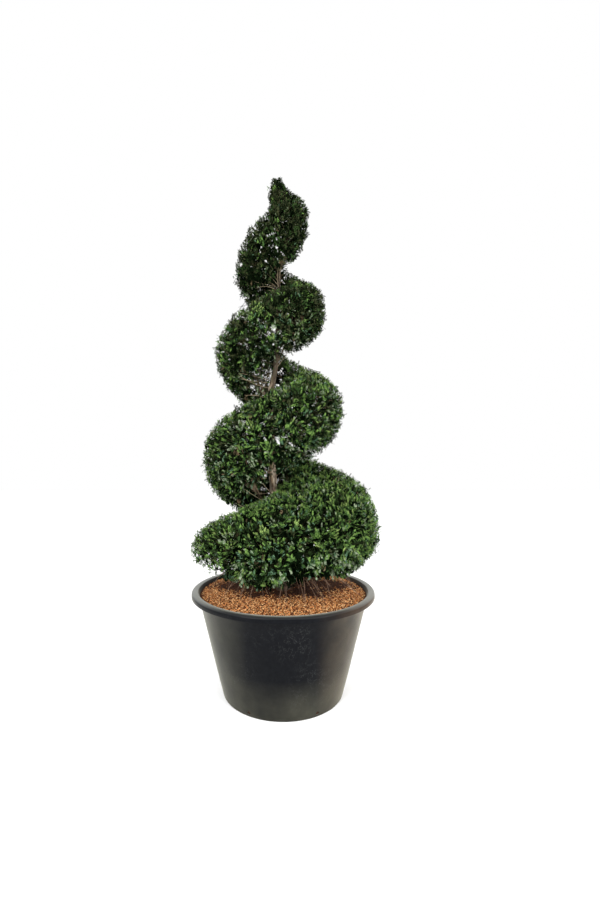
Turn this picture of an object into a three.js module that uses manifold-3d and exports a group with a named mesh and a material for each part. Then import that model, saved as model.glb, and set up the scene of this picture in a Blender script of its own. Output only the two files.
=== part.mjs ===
// A clipped conifer trained as a right-handed spiral, standing in a round planter.
// Units are millimetres and +Z is up. The origin is the centre of the planter's flat underside.

import * as THREE from 'three';
import { mergeVertices } from 'three/addons/utils/BufferGeometryUtils.js';
import Module from 'manifold-3d';

const wasm = await Module();
wasm.setup();

// Planter: a straight-walled tub with a hooked rim and small drain holes low in its wall
const planterHeight = 638;
const footRadius = 387;
const footChamfer = 7;
const wallTopRadius = 554;
const wallThickness = 6;
const floorThickness = 8;
const rimRadius = 592;
const rimDrop = 30;
const rimRound = 13;
const rimRoundSteps = 3;
const drainHoles = 6;
const drainRadius = 11;
const drainHeight = 24;
const drillLength = 40;
const drillSides = 12;
const roundSides = 48;

// Root ball, and a mulch of husks that rises a little from its edge over a shoulder to a flat crown
const soilTop = 584;
const mulchEdge = 612;
const mulchCrown = 622;
const mulchShoulder = 0.86;
const mulchShoulderRise = 0.6;
const mulchFlat = 0.4;
const fitGap = 0.6;

// Trunk: centre line and radius at a few heights, above the flat cut on the root ball
const trunkStations = [
  { z: soilTop + fitGap, x: 0, y: 4, radius: 41 },
  { z: 720, x: -6, y: 6, radius: 35 },
  { z: 1000, x: -42, y: 10, radius: 32 },
  { z: 1330, x: -69, y: 4, radius: 28 },
  { z: 1680, x: -82, y: -4, radius: 25.5 },
  { z: 1960, x: -84, y: -2, radius: 25 },
  { z: 2110, x: -50, y: 2, radius: 19.5 },
  { z: 2380, x: -42, y: 6, radius: 14 },
  { z: 2660, x: -29, y: 2, radius: 10.5 },
  { z: 3000, x: -28, y: 0, radius: 7 },
  { z: 3330, x: -26, y: 0, radius: 4 },
];
const trunkSides = 10;
const trunkSteps = 26;
const boughClearance = 0.5;
const mulchClearance = 1.5;
const coreClearance = 9;
const coreHoleSides = 6;
const coreHoleSteps = 14;
const flareHeight = 60;
const flareShare = 0.55;
const flareRidges = 5;
const flareRidgeShare = 0.16;

// Spiral coil. A turn count u is 0 at the left, 1/4 at the front, 1/2 at the right and 3/4 behind,
// and it goes on counting as the coil climbs. Each knot is [u, size].
const coilStart = -0.22;
const coilEnd = 4;
const coilFoot = 734;
const coilRise = 667;
const coilLift = 17;
const reachKnots = [[-0.25, 538], [0, 586], [0.5, 655], [1, 466], [1.5, 450], [2, 412],
  [2.5, 328], [3, 287], [3.5, 195], [3.75, 120], [4, 82]];
const aboveKnots = [[-0.25, 300], [0, 350], [1, 303], [2, 290], [3, 250], [3.5, 250], [3.75, 206], [4, 64]];
const belowKnots = [[-0.25, 380], [0, 400], [1, 334], [2, 240], [3, 224], [4, 250]];
const axisKnots = [[600, 0], [900, -22], [1300, -62], [2000, -52], [2750, -40], [3450, -24]];
const skirtHeight = 722;
const edgeShare = 0.35;
const upperSquareness = 2.6;
const lowerSquareness = 2.35;

// Foliage: a core under the clipped outline, hollowed beneath round the trunk, and sprays standing out
const shagShare = 0.12;
const shagMost = 52;
const shagLeast = 20;
const shagBelow = 20;
const innerRadius = 14;
const topEdge = 0.96;
const hollowFrom = -0.72;
const hollowShare = 0.5;
const hollowLeastRoof = 60;
const hollowLip = 4;
const outerPoints = 8;
const hollowPoints = 2;
const sectorTurn = 0.25;
const sectorShift = 0.125;
const sectorGap = 2;
const leaderStart = 3.625;
const coreSpacing = 125;
const firstSeed = 41;
const spraysPerMass = 17;
const outlineSteps = 24;
const siteJitter = 0.3;
const sprayRoot = 24;
const sprayLean = 0.8;
const sprayUnevenness = 0.25;
const sprayWidthShare = 0.8;
const sprayThickness = 3;
const sprayOffLimb = 14;
const sprayOffMulch = 20;
const sprayOffTuft = 12;

// A bough leaves the trunk above the coil below and sags on its way to its mass. It ends a little short of
// the mass's stem, which goes on along the same curve and forks into twigs.
const boughRootShare = 0.44;
const boughTipShare = 0.5;
const boughShare = 0.6;
const boughSides = 6;
const boughSteps = 3;
const boughMarks = 6;
const boughSwing = 0.3;
const boughSag = 0.12;
const boughAboveCoil = 40;
const boughMeetShare = 0.52;
const stemGap = 0.45;
const stemShare = 0.96;
const stemSteps = 3;
const stemInCore = 70;
const forkFrom = 0.06;
const forkTo = 0.8;
const twigsPerMass = 4;
const twigSides = 3;
const twigShare = 0.5;
const twigTaper = 0.4;
const twigMargin = 0.03;
const twigInCore = 24;

// Tuft round the trunk's tip: it swells from a narrower foot to its full radius, then rounds off
const tipHeight = 3466;
const tuftHeight = 246;
const tuftRadius = 60;
const tuftFootShare = 0.65;
const tuftFullest = 0.45;
const tuftSides = 8;
const tuftSteps = 8;
const tuftGap = 2;
const stemTipRadius = 2;

// Colours
const planterColour = 0x2b2c2d;
const soilColour = 0x3a2a1e;
const huskColour = 0xb9763f;
const trunkColour = 0x9a7254;
const boughColour = 0x8f6a50;
const needleColour = 0x2f4f26;

// Numbers from 0 to 1 that are the same on every run
function seededRandom(seed) {
  let state = seed >>> 0;
  return () => {
    state = (state + 0x6d2b79f5) >>> 0;
    let mixed = Math.imul(state ^ (state >>> 15), 1 | state);
    mixed = (mixed + Math.imul(mixed ^ (mixed >>> 7), 61 | mixed)) ^ mixed;
    return ((mixed ^ (mixed >>> 14)) >>> 0) / 4294967296;
  };
}

// A smooth value through [place, size] knots
function through(knots, place) {
  const last = knots.length - 1;
  const held = THREE.MathUtils.clamp(place, knots[0][0], knots[last][0]);
  let index = 0;
  while (index < last - 1 && held > knots[index + 1][0]) {
    index += 1;
  }
  const slopeAt = (knot) => {
    const before = knots[Math.max(knot - 1, 0)];
    const after = knots[Math.min(knot + 1, last)];
    return (after[1] - before[1]) / (after[0] - before[0]);
  };
  const [from, to] = [knots[index], knots[index + 1]];
  const span = to[0] - from[0];
  const s = (held - from[0]) / span;
  const bend = s * s * (3 - 2 * s);
  const rise = s * (1 - s) * span * ((1 - s) * slopeAt(index) - s * slopeAt(index + 1));
  return from[1] + (to[1] - from[1]) * bend + rise;
}

// Turns a closed geometry into a solid that can be cut and joined
function solidOf(geometry) {
  const bare = geometry.index ? geometry.clone() : geometry.toNonIndexed();
  bare.deleteAttribute('normal');
  bare.deleteAttribute('uv');
  const merged = mergeVertices(bare, 1e-3);
  const corners = merged.index.array;
  const kept = [];
  for (let i = 0; i < corners.length; i += 3) {
    const [a, b, c] = [corners[i], corners[i + 1], corners[i + 2]];
    if (a !== b && b !== c && c !== a) {
      kept.push(a, b, c);
    }
  }
  const mesh = new wasm.Mesh({
    numProp: 3,
    vertProperties: merged.attributes.position.array,
    triVerts: new Uint32Array(kept),
  });
  return new wasm.Manifold(mesh);
}

// The largest piece of a solid, without loose scraps or sealed hollows
function mainPiece(solid) {
  const pieces = solid.decompose();
  return pieces.reduce((best, piece) => (piece.volume() > best.volume() ? piece : best));
}

function geometryOf(solid) {
  const mesh = solid.getMesh();
  const geometry = new THREE.BufferGeometry();
  geometry.setAttribute('position', new THREE.BufferAttribute(mesh.vertProperties, 3));
  geometry.setIndex(new THREE.BufferAttribute(mesh.triVerts, 1));
  geometry.computeVertexNormals();
  return geometry;
}

// A closed skin over rings that all have the same number of points; its two ends are flat caps
function skinOf(rings, outline) {
  const count = outline.length;
  const positions = rings.flat().flatMap((point) => [point.x, point.y, point.z]);
  const indices = [];
  for (let ring = 0; ring + 1 < rings.length; ring += 1) {
    for (let i = 0; i < count; i += 1) {
      const a = ring * count + i;
      const b = ring * count + ((i + 1) % count);
      indices.push(a, b, b + count, a, b + count, a + count);
    }
  }
  const far = (rings.length - 1) * count;
  const area = THREE.ShapeUtils.area(outline);
  for (const face of THREE.ShapeUtils.triangulateShape(outline, [])) {
    const sameWay = THREE.ShapeUtils.area(face.map((corner) => outline[corner])) * area > 0;
    const [a, b, c] = sameWay ? face : face.toReversed();
    indices.push(a, c, b, far + a, far + b, far + c);
  }
  const geometry = new THREE.BufferGeometry();
  geometry.setAttribute('position', new THREE.Float32BufferAttribute(positions, 3));
  geometry.setIndex(indices);
  return geometry;
}

// A tapering limb along a curve, from one flat end to the other
function limb(curve, steps, sides, radiusAt, from = 0, to = 1) {
  const outline = [];
  for (let i = 0; i < sides; i += 1) {
    const angle = (2 * Math.PI * i) / sides;
    outline.push(new THREE.Vector2(Math.cos(angle), Math.sin(angle)));
  }
  const rings = [];
  let across = new THREE.Vector3(1, 0, 0);
  for (let step = 0; step <= steps; step += 1) {
    const share = from + ((to - from) * step) / steps;
    const centre = curve.getPointAt(share);
    const along = curve.getTangentAt(share);
    across = across.clone().addScaledVector(along, -across.dot(along)).normalize();
    const other = new THREE.Vector3().crossVectors(along, across);
    rings.push(outline.map((corner, side) => {
      const radius = radiusAt(share, side);
      return centre.clone().addScaledVector(across, corner.x * radius).addScaledVector(other, corner.y * radius);
    }));
  }
  return skinOf(rings, outline);
}

function turned(profile) {
  return new THREE.LatheGeometry(profile, roundSides).rotateX(Math.PI / 2);
}

// Inside radius of the planter's wall at a height
function wallInside(z) {
  const lean = (wallTopRadius - footRadius) / planterHeight;
  return footRadius + lean * z - wallThickness;
}

function planterSolid() {
  const outsideAt = (z) => wallInside(z) + wallThickness;
  const hookInside = rimRadius - wallThickness;
  const underRim = planterHeight - wallThickness;
  const profile = [
    new THREE.Vector2(0, 0),
    new THREE.Vector2(footRadius - footChamfer, 0),
    new THREE.Vector2(outsideAt(footChamfer), footChamfer),
    new THREE.Vector2(outsideAt(underRim - rimRound), underRim - rimRound),
    new THREE.Vector2(outsideAt(underRim) + rimRound / 2, underRim),
    new THREE.Vector2(hookInside, underRim - rimRound / 2),
    new THREE.Vector2(hookInside, planterHeight - rimDrop),
    new THREE.Vector2(rimRadius, planterHeight - rimDrop),
  ];
  for (let i = 0; i <= rimRoundSteps; i += 1) {
    const angle = (Math.PI / 2) * (i / rimRoundSteps);
    const r = rimRadius - rimRound + rimRound * Math.cos(angle);
    profile.push(new THREE.Vector2(r, planterHeight - rimRound + rimRound * Math.sin(angle)));
  }
  profile.push(new THREE.Vector2(outsideAt(planterHeight), planterHeight));
  profile.push(new THREE.Vector2(wallInside(planterHeight), planterHeight - wallThickness));
  profile.push(new THREE.Vector2(wallInside(floorThickness), floorThickness));
  profile.push(new THREE.Vector2(0, floorThickness));
  let tub = solidOf(turned(profile));
  for (let i = 0; i < drainHoles; i += 1) {
    const drill = new THREE.CylinderGeometry(drainRadius, drainRadius, drillLength, drillSides);
    drill.translate(0, footRadius, 0).rotateZ((2 * Math.PI * (i + 0.5)) / drainHoles + Math.PI);
    drill.translate(0, 0, drainHeight);
    tub = tub.subtract(solidOf(drill));
  }
  return tub;
}

function rootBallSolid() {
  const bottom = floorThickness + fitGap;
  return solidOf(turned([
    new THREE.Vector2(0, bottom),
    new THREE.Vector2(wallInside(bottom) - fitGap, bottom),
    new THREE.Vector2(wallInside(soilTop) - fitGap, soilTop),
    new THREE.Vector2(0, soilTop),
  ]));
}

function mulchSolid(trunkHole) {
  const bottom = soilTop + fitGap;
  const edge = wallInside(mulchEdge) - fitGap;
  const disc = solidOf(turned([
    new THREE.Vector2(0, bottom),
    new THREE.Vector2(wallInside(bottom) - fitGap, bottom),
    new THREE.Vector2(edge, mulchEdge),
    new THREE.Vector2(edge * mulchShoulder, THREE.MathUtils.lerp(mulchEdge, mulchCrown, mulchShoulderRise)),
    new THREE.Vector2(edge * mulchFlat, mulchCrown),
    new THREE.Vector2(0, mulchCrown),
  ]));
  return disc.subtract(trunkHole);
}

// Trunk
const trunkCurve = new THREE.CatmullRomCurve3(
  trunkStations.map(({ x, y, z }) => new THREE.Vector3(x, y, z)),
);
const trunkRadiusKnots = trunkStations.map(({ z, radius }) => [z, radius]);

function trunkPointAt(z) {
  const knotsOf = (axis) => trunkStations.map((station) => [station.z, station[axis]]);
  return new THREE.Vector3(through(knotsOf('x'), z), through(knotsOf('y'), z), z);
}

function trunkGeometry(extra, sides, steps) {
  const ground = trunkStations[0].z;
  const geometry = limb(trunkCurve, steps, sides, (share, side) => {
    const z = trunkCurve.getPointAt(share).z;
    const swell = flareShare * Math.exp((ground - z) / flareHeight);
    const ridge = 1 + flareRidgeShare * Math.cos((2 * Math.PI * side * flareRidges) / sides) * (swell / flareShare);
    return through(trunkRadiusKnots, z) * (1 + swell) * ridge + extra;
  });
  const position = geometry.attributes.position;
  const tip = trunkCurve.getPointAt(1).z;
  for (let i = 0; i < sides; i += 1) {
    position.setZ(i, ground - Math.min(extra, fitGap));
    position.setZ(position.count - sides + i, tip + extra);
  }
  return geometry;
}

// Coil
const midHeight = (u) => coilFoot + coilRise * u + coilLift * u * (coilEnd - u);
const topHeight = (u) => midHeight(u) + through(aboveKnots, u);
const lowHeight = (u) => Math.max(midHeight(u) - through(belowKnots, u), skirtHeight);
const edgeHeight = (u) => Math.max(midHeight(u), THREE.MathUtils.lerp(lowHeight(u), topHeight(u), edgeShare));
const shagAt = (u) => THREE.MathUtils.clamp(through(reachKnots, u) * shagShare, shagLeast, shagMost);

// A point of the coil's section: t is 1 at the trunk on top, 0 at the outer edge and -1 beneath
function sectionPoint(u, t, inset) {
  const edge = edgeHeight(u);
  const reach = through(reachKnots, u) - inset;
  const height = t > 0 ? topHeight(u) - edge - inset : edge - lowHeight(u) - Math.min(inset, shagBelow);
  const power = 2 / (t > 0 ? upperSquareness : lowerSquareness);
  const angle = (Math.abs(t) * Math.PI) / 2;
  const r = reach * Math.max(Math.cos(angle), 0) ** power;
  return new THREE.Vector2(r, edge + Math.sign(t) * height * Math.sin(angle) ** power);
}

// Where a section point lies in space
function placed(u, point) {
  const azimuth = Math.PI * (1 + 2 * u);
  const x = through(axisKnots, point.y) + point.x * Math.cos(azimuth);
  return new THREE.Vector3(x, point.x * Math.sin(azimuth), point.y);
}

// The hollow under the coil, from share 0 at its rim to share 1 at the trunk
function hollowPoint(u, share) {
  const rim = sectionPoint(u, hollowFrom, shagAt(u));
  const top = topHeight(u) - shagAt(u);
  const roof = Math.min(THREE.MathUtils.lerp(edgeHeight(u), lowHeight(u), hollowShare), top - hollowLeastRoof);
  const inner = new THREE.Vector2(innerRadius, Math.max(roof, rim.y + hollowLip));
  return new THREE.Vector2(
    THREE.MathUtils.lerp(rim.x, inner.x, share),
    THREE.MathUtils.lerp(rim.y, inner.y, Math.sin((share * Math.PI) / 2)),
  );
}

function coreSection(u) {
  const section = [new THREE.Vector2(innerRadius, topHeight(u) - shagAt(u))];
  for (let i = 1; i < outerPoints; i += 1) {
    section.push(sectionPoint(u, 1 + ((hollowFrom - 1) * i) / (outerPoints - 1), shagAt(u)));
  }
  for (let i = 1; i <= hollowPoints; i += 1) {
    section.push(hollowPoint(u, i / hollowPoints));
  }
  return section;
}

function coreSolid(from, to) {
  const middle = (from + to) / 2;
  const arc = 2 * Math.PI * (to - from) * (through(reachKnots, middle) - shagAt(middle));
  const steps = Math.max(3, Math.round(arc / coreSpacing));
  const rings = [];
  for (let step = 0; step <= steps; step += 1) {
    const u = THREE.MathUtils.lerp(from, to, step / steps);
    const side = step === 0 ? 1 : step === steps ? -1 : 0;
    rings.push(coreSection(u).map((point) => {
      const turnGap = Math.atan2(sectorGap, Math.max(point.x, innerRadius)) / (2 * Math.PI);
      return placed(u + side * turnGap, point);
    }));
  }
  return solidOf(skinOf(rings, coreSection(middle)));
}

// Turn count of a point in space, nearest to a given one
function turnOf(point, near) {
  const azimuth = Math.atan2(point.y, point.x - through(axisKnots, point.z));
  const u = azimuth / (2 * Math.PI) - 0.5;
  return u + Math.round(near - u);
}

// A toothed blade for a spray of needles: a three-pointed outline, thickest at its middle
const bladeOutline = [[0, 0], [0.56, 0.5], [0.62, 0.2], [1, 0], [0.62, -0.2], [0.56, -0.5]];

function bladeGeometry(root, tip, roll, width) {
  const along = tip.clone().sub(root);
  const length = along.length();
  along.normalize();
  const seed = Math.abs(along.z) < 0.9 ? new THREE.Vector3(0, 0, 1) : new THREE.Vector3(1, 0, 0);
  const across = new THREE.Vector3().crossVectors(along, seed).normalize().applyAxisAngle(along, roll);
  const up = new THREE.Vector3().crossVectors(along, across);
  const corners = bladeOutline.map(([share, side]) => (
    root.clone().addScaledVector(along, share * length).addScaledVector(across, side * width)
  ));
  const middle = root.clone().addScaledVector(along, length * 0.5);
  corners.push(middle.clone().addScaledVector(up, sprayThickness));
  corners.push(middle.clone().addScaledVector(up, -sprayThickness));
  const count = bladeOutline.length;
  const indices = [];
  for (let i = 0; i < count; i += 1) {
    const next = (i + 1) % count;
    indices.push(i, count, next, i, next, count + 1);
  }
  const geometry = new THREE.BufferGeometry();
  geometry.setAttribute('position', new THREE.Float32BufferAttribute(corners.flatMap((p) => [p.x, p.y, p.z]), 3));
  geometry.setIndex(indices);
  return { geometry, corners };
}

// Evenly spread places on the coil's skin between two turn counts, as [u, t]
function spraySites(from, to, random) {
  const middle = (from + to) / 2;
  const lengthOf = (points) => points.slice(1).reduce((sum, point, i) => sum + point.distanceTo(points[i]), 0);
  const rim = [];
  for (let i = 0; i <= outlineSteps; i += 1) {
    rim.push(sectionPoint(middle, THREE.MathUtils.lerp(topEdge, hollowFrom, i / outlineSteps), 0));
  }
  const rimLength = lengthOf(rim);
  const area = rim.slice(1).reduce((sum, point, i) => (
    sum + point.distanceTo(rim[i]) * 2 * Math.PI * (to - from) * point.x
  ), 0);
  const spacing = Math.sqrt(area / spraysPerMass);
  const rows = Math.max(3, Math.round(rimLength / spacing));
  const sites = [];
  for (let row = 0; row < rows; row += 1) {
    const share = (row + 0.5) / rows;
    const r = sectionPoint(middle, THREE.MathUtils.lerp(topEdge, hollowFrom, share), 0).x;
    const columns = Math.max(1, Math.round((2 * Math.PI * (to - from) * r) / spacing));
    for (let column = 0; column < columns; column += 1) {
      const stagger = (row % 2) / 2 + 0.25;
      const across = (column + stagger + siteJitter * (random() - 0.5)) / columns;
      const down = share + (siteJitter * (random() - 0.5)) / rows;
      sites.push([THREE.MathUtils.lerp(from, to, across), THREE.MathUtils.lerp(topEdge, hollowFrom, down)]);
    }
  }
  return { sites, spacing, upward: (topEdge - hollowFrom) * (spacing / rimLength) };
}

// The bough and, further along the same curve, the stem of the mass that it carries
function boughCurve(u) {
  const overCoil = u - 1 > coilStart - 0.1;
  const below = overCoil ? topHeight(Math.max(u - 1, coilStart)) : mulchCrown;
  const into = placed(u, hollowPoint(u, boughMeetShare));
  const start = trunkPointAt(Math.min(below, into.z - 2 * boughAboveCoil) + boughAboveCoil);
  const bend = new THREE.Vector3().lerpVectors(start, into, 0.5);
  bend.z -= (into.z - start.z) * boughSag;
  const away = into.clone().sub(bend).normalize();
  const end = into.clone().addScaledVector(away, stemInCore);
  return new THREE.QuadraticBezierCurve3(start, bend, end);
}

function boughRadius(curve, share) {
  const root = through(trunkRadiusKnots, curve.getPointAt(0).z) * boughRootShare;
  return THREE.MathUtils.lerp(root, root * boughTipShare, share);
}

function boughSolid(curve, trunkHole) {
  const radiusAt = (share) => boughRadius(curve, share);
  const whole = solidOf(limb(curve, boughSteps, boughSides, radiusAt, 0, boughShare));
  return mainPiece(whole.subtract(trunkHole));
}

// A stem on its bough's tip, with bare twigs that fork off to the core over the hollow
function stemSolids(curve, u, from, to, random) {
  const start = boughShare + stemGap / curve.getLength();
  const stem = limb(curve, stemSteps, boughSides, (share) => boughRadius(curve, share) * stemShare, start, 1);
  const solids = [solidOf(stem)];
  for (let i = 0; i < twigsPerMass; i += 1) {
    const fork = curve.getPointAt(THREE.MathUtils.lerp(start + forkFrom, forkTo, random()));
    const place = (i + THREE.MathUtils.lerp(0.2, 0.8, random())) / twigsPerMass;
    const side = THREE.MathUtils.lerp(from + twigMargin, to - twigMargin, place);
    const target = placed(side, hollowPoint(side, THREE.MathUtils.lerp(0.1, 0.6, random())));
    const away = target.clone().sub(fork).normalize();
    target.addScaledVector(away, twigInCore);
    const radius = boughRadius(curve, 1) * twigShare;
    const radiusAt = (share) => radius * (1 - twigTaper * share);
    solids.push(solidOf(limb(new THREE.LineCurve3(fork, target), 1, twigSides, radiusAt)));
  }
  return solids;
}

// Sprays over the core, each reaching to the clipped outline and keeping to its own space
function spraySolids(from, to, offTuft, obstacles, random) {
  const { sites, spacing, upward } = spraySites(from, to, random);
  const solids = [];
  for (const [u, t] of sites) {
    const shag = shagAt(u);
    const foot = placed(u, sectionPoint(u, t, shag));
    const quarter = spacing / (2 * Math.PI * Math.hypot(foot.x, foot.y));
    const tipTurn = u + quarter * (random() - 0.5) * sprayLean;
    const tipRise = Math.min(t + upward * (random() - 0.2) * sprayLean, topEdge);
    const tip = placed(tipTurn, sectionPoint(tipTurn, tipRise, shag * sprayUnevenness * random()));
    const outward = tip.clone().sub(foot).normalize();
    const root = foot.addScaledVector(outward, -sprayRoot);
    const roll = random() * Math.PI;
    const { geometry, corners } = bladeGeometry(root, tip, roll, spacing * sprayWidthShare);
    const keepsToSpace = corners.every((corner) => {
      const turn = turnOf(corner, u);
      const r = Math.hypot(corner.x - through(axisKnots, corner.z), corner.y);
      const margin = Math.atan2(sectorGap * 3, r) / (2 * Math.PI);
      const trunk = trunkPointAt(corner.z);
      const offTrunk = corner.distanceTo(trunk) - through(trunkRadiusKnots, corner.z);
      const clear = obstacles.every(({ point, radius }) => corner.distanceTo(point) > radius + sprayOffLimb);
      return turn > from + margin && turn < to - margin && offTrunk > coreClearance
        && corner.z > mulchCrown + sprayOffMulch && offTuft(corner) && clear;
    });
    if (keepsToSpace) {
      solids.push(solidOf(geometry));
    }
  }
  return solids;
}

// Tuft round the trunk's tip, with a short stem of its own on the tip
const trunkTip = trunkCurve.getPointAt(1);
const tuftPeak = trunkTip.clone().setZ(tipHeight);
const tuftFoot = trunkTip.clone().setZ(tipHeight - tuftHeight);

function tuftRadiusAt(share) {
  const below = Math.max(tuftFullest - share, 0) / tuftFullest;
  const above = Math.max(share - tuftFullest, 0) / (1 - tuftFullest);
  return tuftRadius * (1 - (1 - tuftFootShare) * below ** 2) * Math.sqrt(1 - above ** 2) + stemTipRadius;
}

function tuftSolid(extra) {
  const foot = tuftFoot.clone().setZ(tuftFoot.z - extra);
  const radiusAt = (share) => tuftRadiusAt(share) + extra;
  return solidOf(limb(new THREE.LineCurve3(foot, tuftPeak), tuftSteps, tuftSides, radiusAt));
}

function offTuft(point) {
  const share = (point.z - tuftFoot.z + sprayOffTuft) / tuftHeight;
  const across = Math.hypot(point.x - tuftFoot.x, point.y - tuftFoot.y);
  return share < 0 || (share < 1 && across > tuftRadiusAt(share) + sprayOffTuft);
}

function leaderStem() {
  const foot = trunkTip.clone().setZ(trunkTip.z + stemGap);
  const radiusAt = (share) => THREE.MathUtils.lerp(trunkStations.at(-1).radius, stemTipRadius, share);
  return solidOf(limb(new THREE.LineCurve3(foot, tuftPeak), 1, boughSides, radiusAt));
}

function finish(colour, roughness) {
  return new THREE.MeshStandardMaterial({ color: colour, roughness, metalness: 0 });
}

const topiary = new THREE.Group();

function addNode(name, solid, material) {
  const mesh = new THREE.Mesh(geometryOf(solid), material);
  mesh.name = name;
  topiary.add(mesh);
}

const boughHole = solidOf(trunkGeometry(boughClearance, trunkSides, trunkSteps));
const mulchHole = solidOf(trunkGeometry(mulchClearance, trunkSides, trunkSteps));
const coreHole = solidOf(trunkGeometry(coreClearance, coreHoleSides, coreHoleSteps));
addNode('planter', planterSolid(), finish(planterColour, 0.55));
addNode('root_ball', rootBallSolid(), finish(soilColour, 0.95));
addNode('husk_mulch', mulchSolid(mulchHole), finish(huskColour, 0.9));
addNode('trunk', solidOf(trunkGeometry(0, trunkSides, trunkSteps)), finish(trunkColour, 0.85));

// One mass for each quarter turn, with the bough that carries it
const massEdges = [coilStart];
for (let edge = sectorShift; edge < leaderStart + sectorTurn / 2; edge += sectorTurn) {
  massEdges.push(edge);
}
massEdges.push(coilEnd);
const masses = massEdges.slice(1).map((to, index) => {
  const from = massEdges[index];
  const random = seededRandom(firstSeed + index);
  const swing = (random() - 0.5) * boughSwing * (to - from);
  const leader = index === massEdges.length - 2;
  const boughTurn = (from + to) / 2 + swing;
  return { from, to, random, leader, boughTurn, curve: leader ? null : boughCurve(boughTurn) };
});
const obstacles = [];
for (const { curve } of masses.filter((mass) => mass.curve)) {
  for (let mark = 0; mark <= boughMarks; mark += 1) {
    const share = (boughShare * mark) / boughMarks;
    obstacles.push({ point: curve.getPointAt(share), radius: boughRadius(curve, share) });
  }
}

masses.forEach(({ from, to, random, leader, boughTurn, curve }, index) => {
  const label = String(index + 1).padStart(2, '0');
  let core = coreSolid(from, to);
  const parts = spraySolids(from, to, leader ? () => true : offTuft, obstacles, random);
  if (leader) {
    core = core.add(tuftSolid(0));
    parts.push(leaderStem());
  } else {
    core = core.subtract(tuftSolid(tuftGap));
    addNode(`bough_${label}`, boughSolid(curve, boughHole), finish(boughColour, 0.85));
    parts.push(...stemSolids(curve, boughTurn, from, to, random));
  }
  core = mainPiece(core.subtract(coreHole));
  const mass = parts.reduce((whole, part) => whole.add(part), core);
  addNode(leader ? 'leader_tuft' : `foliage_${label}`, mainPiece(mass), finish(needleColour, 0.8));
});

export default topiary;
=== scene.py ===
"""Looks of a spiral topiary: needle sprays, fine twigs, barked limbs, a moulded tub, mulch and a studio.

Everything is in metres, +Z up and -Y to the front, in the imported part's own frame. The coil, the boughs
and the tuft follow the laws of the part's source, written again here and carried on to finer twigs.
"""

import logging
import math
from collections.abc import Callable
from dataclasses import dataclass, field
from enum import Enum

import bpy
import numpy as np
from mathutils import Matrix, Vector, noise
from mathutils.kdtree import KDTree


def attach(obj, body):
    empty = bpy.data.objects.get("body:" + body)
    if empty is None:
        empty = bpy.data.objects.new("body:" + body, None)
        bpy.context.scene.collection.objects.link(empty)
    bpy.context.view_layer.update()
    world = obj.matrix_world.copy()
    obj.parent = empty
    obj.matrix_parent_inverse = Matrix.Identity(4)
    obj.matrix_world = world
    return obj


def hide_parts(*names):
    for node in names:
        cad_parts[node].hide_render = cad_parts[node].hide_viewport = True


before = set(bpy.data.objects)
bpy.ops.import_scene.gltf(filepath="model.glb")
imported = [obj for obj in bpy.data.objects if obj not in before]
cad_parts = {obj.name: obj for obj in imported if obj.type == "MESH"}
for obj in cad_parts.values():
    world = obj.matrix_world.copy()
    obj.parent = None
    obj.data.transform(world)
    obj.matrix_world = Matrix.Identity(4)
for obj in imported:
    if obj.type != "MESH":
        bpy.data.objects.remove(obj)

LOG = logging.getLogger("topiary")
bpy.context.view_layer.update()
BODY = "root"

Pair = tuple[float, float]
Triple = tuple[float, float, float]
Colour = Triple
Knots = tuple[Pair, ...]
Array = np.ndarray
Rng = np.random.Generator
Share = Callable[[Array, Array], Array]
Piece = bpy.types.Object
Material = bpy.types.Material
NodeTree = bpy.types.NodeTree
Node = bpy.types.Node
Socket = bpy.types.NodeSocket
Value = Socket | float | Colour


def srgb(red: int, green: int, blue: int) -> Colour:
    """Turns a screen colour from 0 to 255 into the linear colour that a shader takes.

    Args:
        red: Red share.
        green: Green share.
        blue: Blue share.

    Returns:
        The three linear shares.
    """
    def linear(value: int) -> float:
        """Linear value of one share."""
        share = value / 255
        return share / 12.92 if share <= 0.04045 else ((share + 0.055) / 1.055) ** 2.4

    return linear(red), linear(green), linear(blue)


def unit(vectors: Array) -> Array:
    """Vectors of length one along the last axis."""
    return vectors / np.maximum(np.linalg.norm(vectors, axis=-1, keepdims=True), 1e-9)


def through(knots: Knots, place: Array) -> Array:
    """Reads a smooth curve through (place, size) knots.

    Args:
        knots: Places in rising order, each with its size.
        place: Where to read the curve.

    Returns:
        The sizes at those places.
    """
    places, sizes = np.array(knots, float).T
    last = len(places) - 1
    order = np.arange(last + 1)
    before, after = np.maximum(order - 1, 0), np.minimum(order + 1, last)
    slopes = (sizes[after] - sizes[before]) / (places[after] - places[before])
    held = np.clip(place, places[0], places[last])
    index = np.clip(np.searchsorted(places, held, side="left") - 1, 0, last - 1)
    span = places[index + 1] - places[index]
    share = (held - places[index]) / span
    bend = share * share * (3 - 2 * share)
    rise = share * (1 - share) * span * ((1 - share) * slopes[index] - share * slopes[index + 1])
    return sizes[index] + (sizes[index + 1] - sizes[index]) * bend + rise


def ramp(value: Array, low: float, high: float) -> Array:
    """Share that goes from 0 at one value to 1 at another."""
    return np.clip((value - low) / (high - low), 0, 1)


def near(value: Array, middle: float, width: float) -> Array:
    """Share that is 1 at a value and fades to 0 away from it."""
    return np.exp(-((value - middle) / width) ** 2)


def everywhere(turn: Array, place: Array) -> Array:
    """Share of 1 at every turn count and place round the section."""
    return np.ones_like(turn + place)


def first_draw(seed: int) -> float:
    """First number of the seeded row that swings each bough in the part's source.

    Args:
        seed: The bough's seed.

    Returns:
        A number from 0 to 1.
    """
    whole = 0xFFFFFFFF
    state = (seed + 0x6D2B79F5) & whole
    mixed = ((state ^ (state >> 15)) * (1 | state)) & whole
    mixed = ((mixed + (mixed ^ (mixed >> 7)) * (61 | mixed)) ^ mixed) & whole
    return ((mixed ^ (mixed >> 14)) & whole) / (whole + 1)


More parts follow.
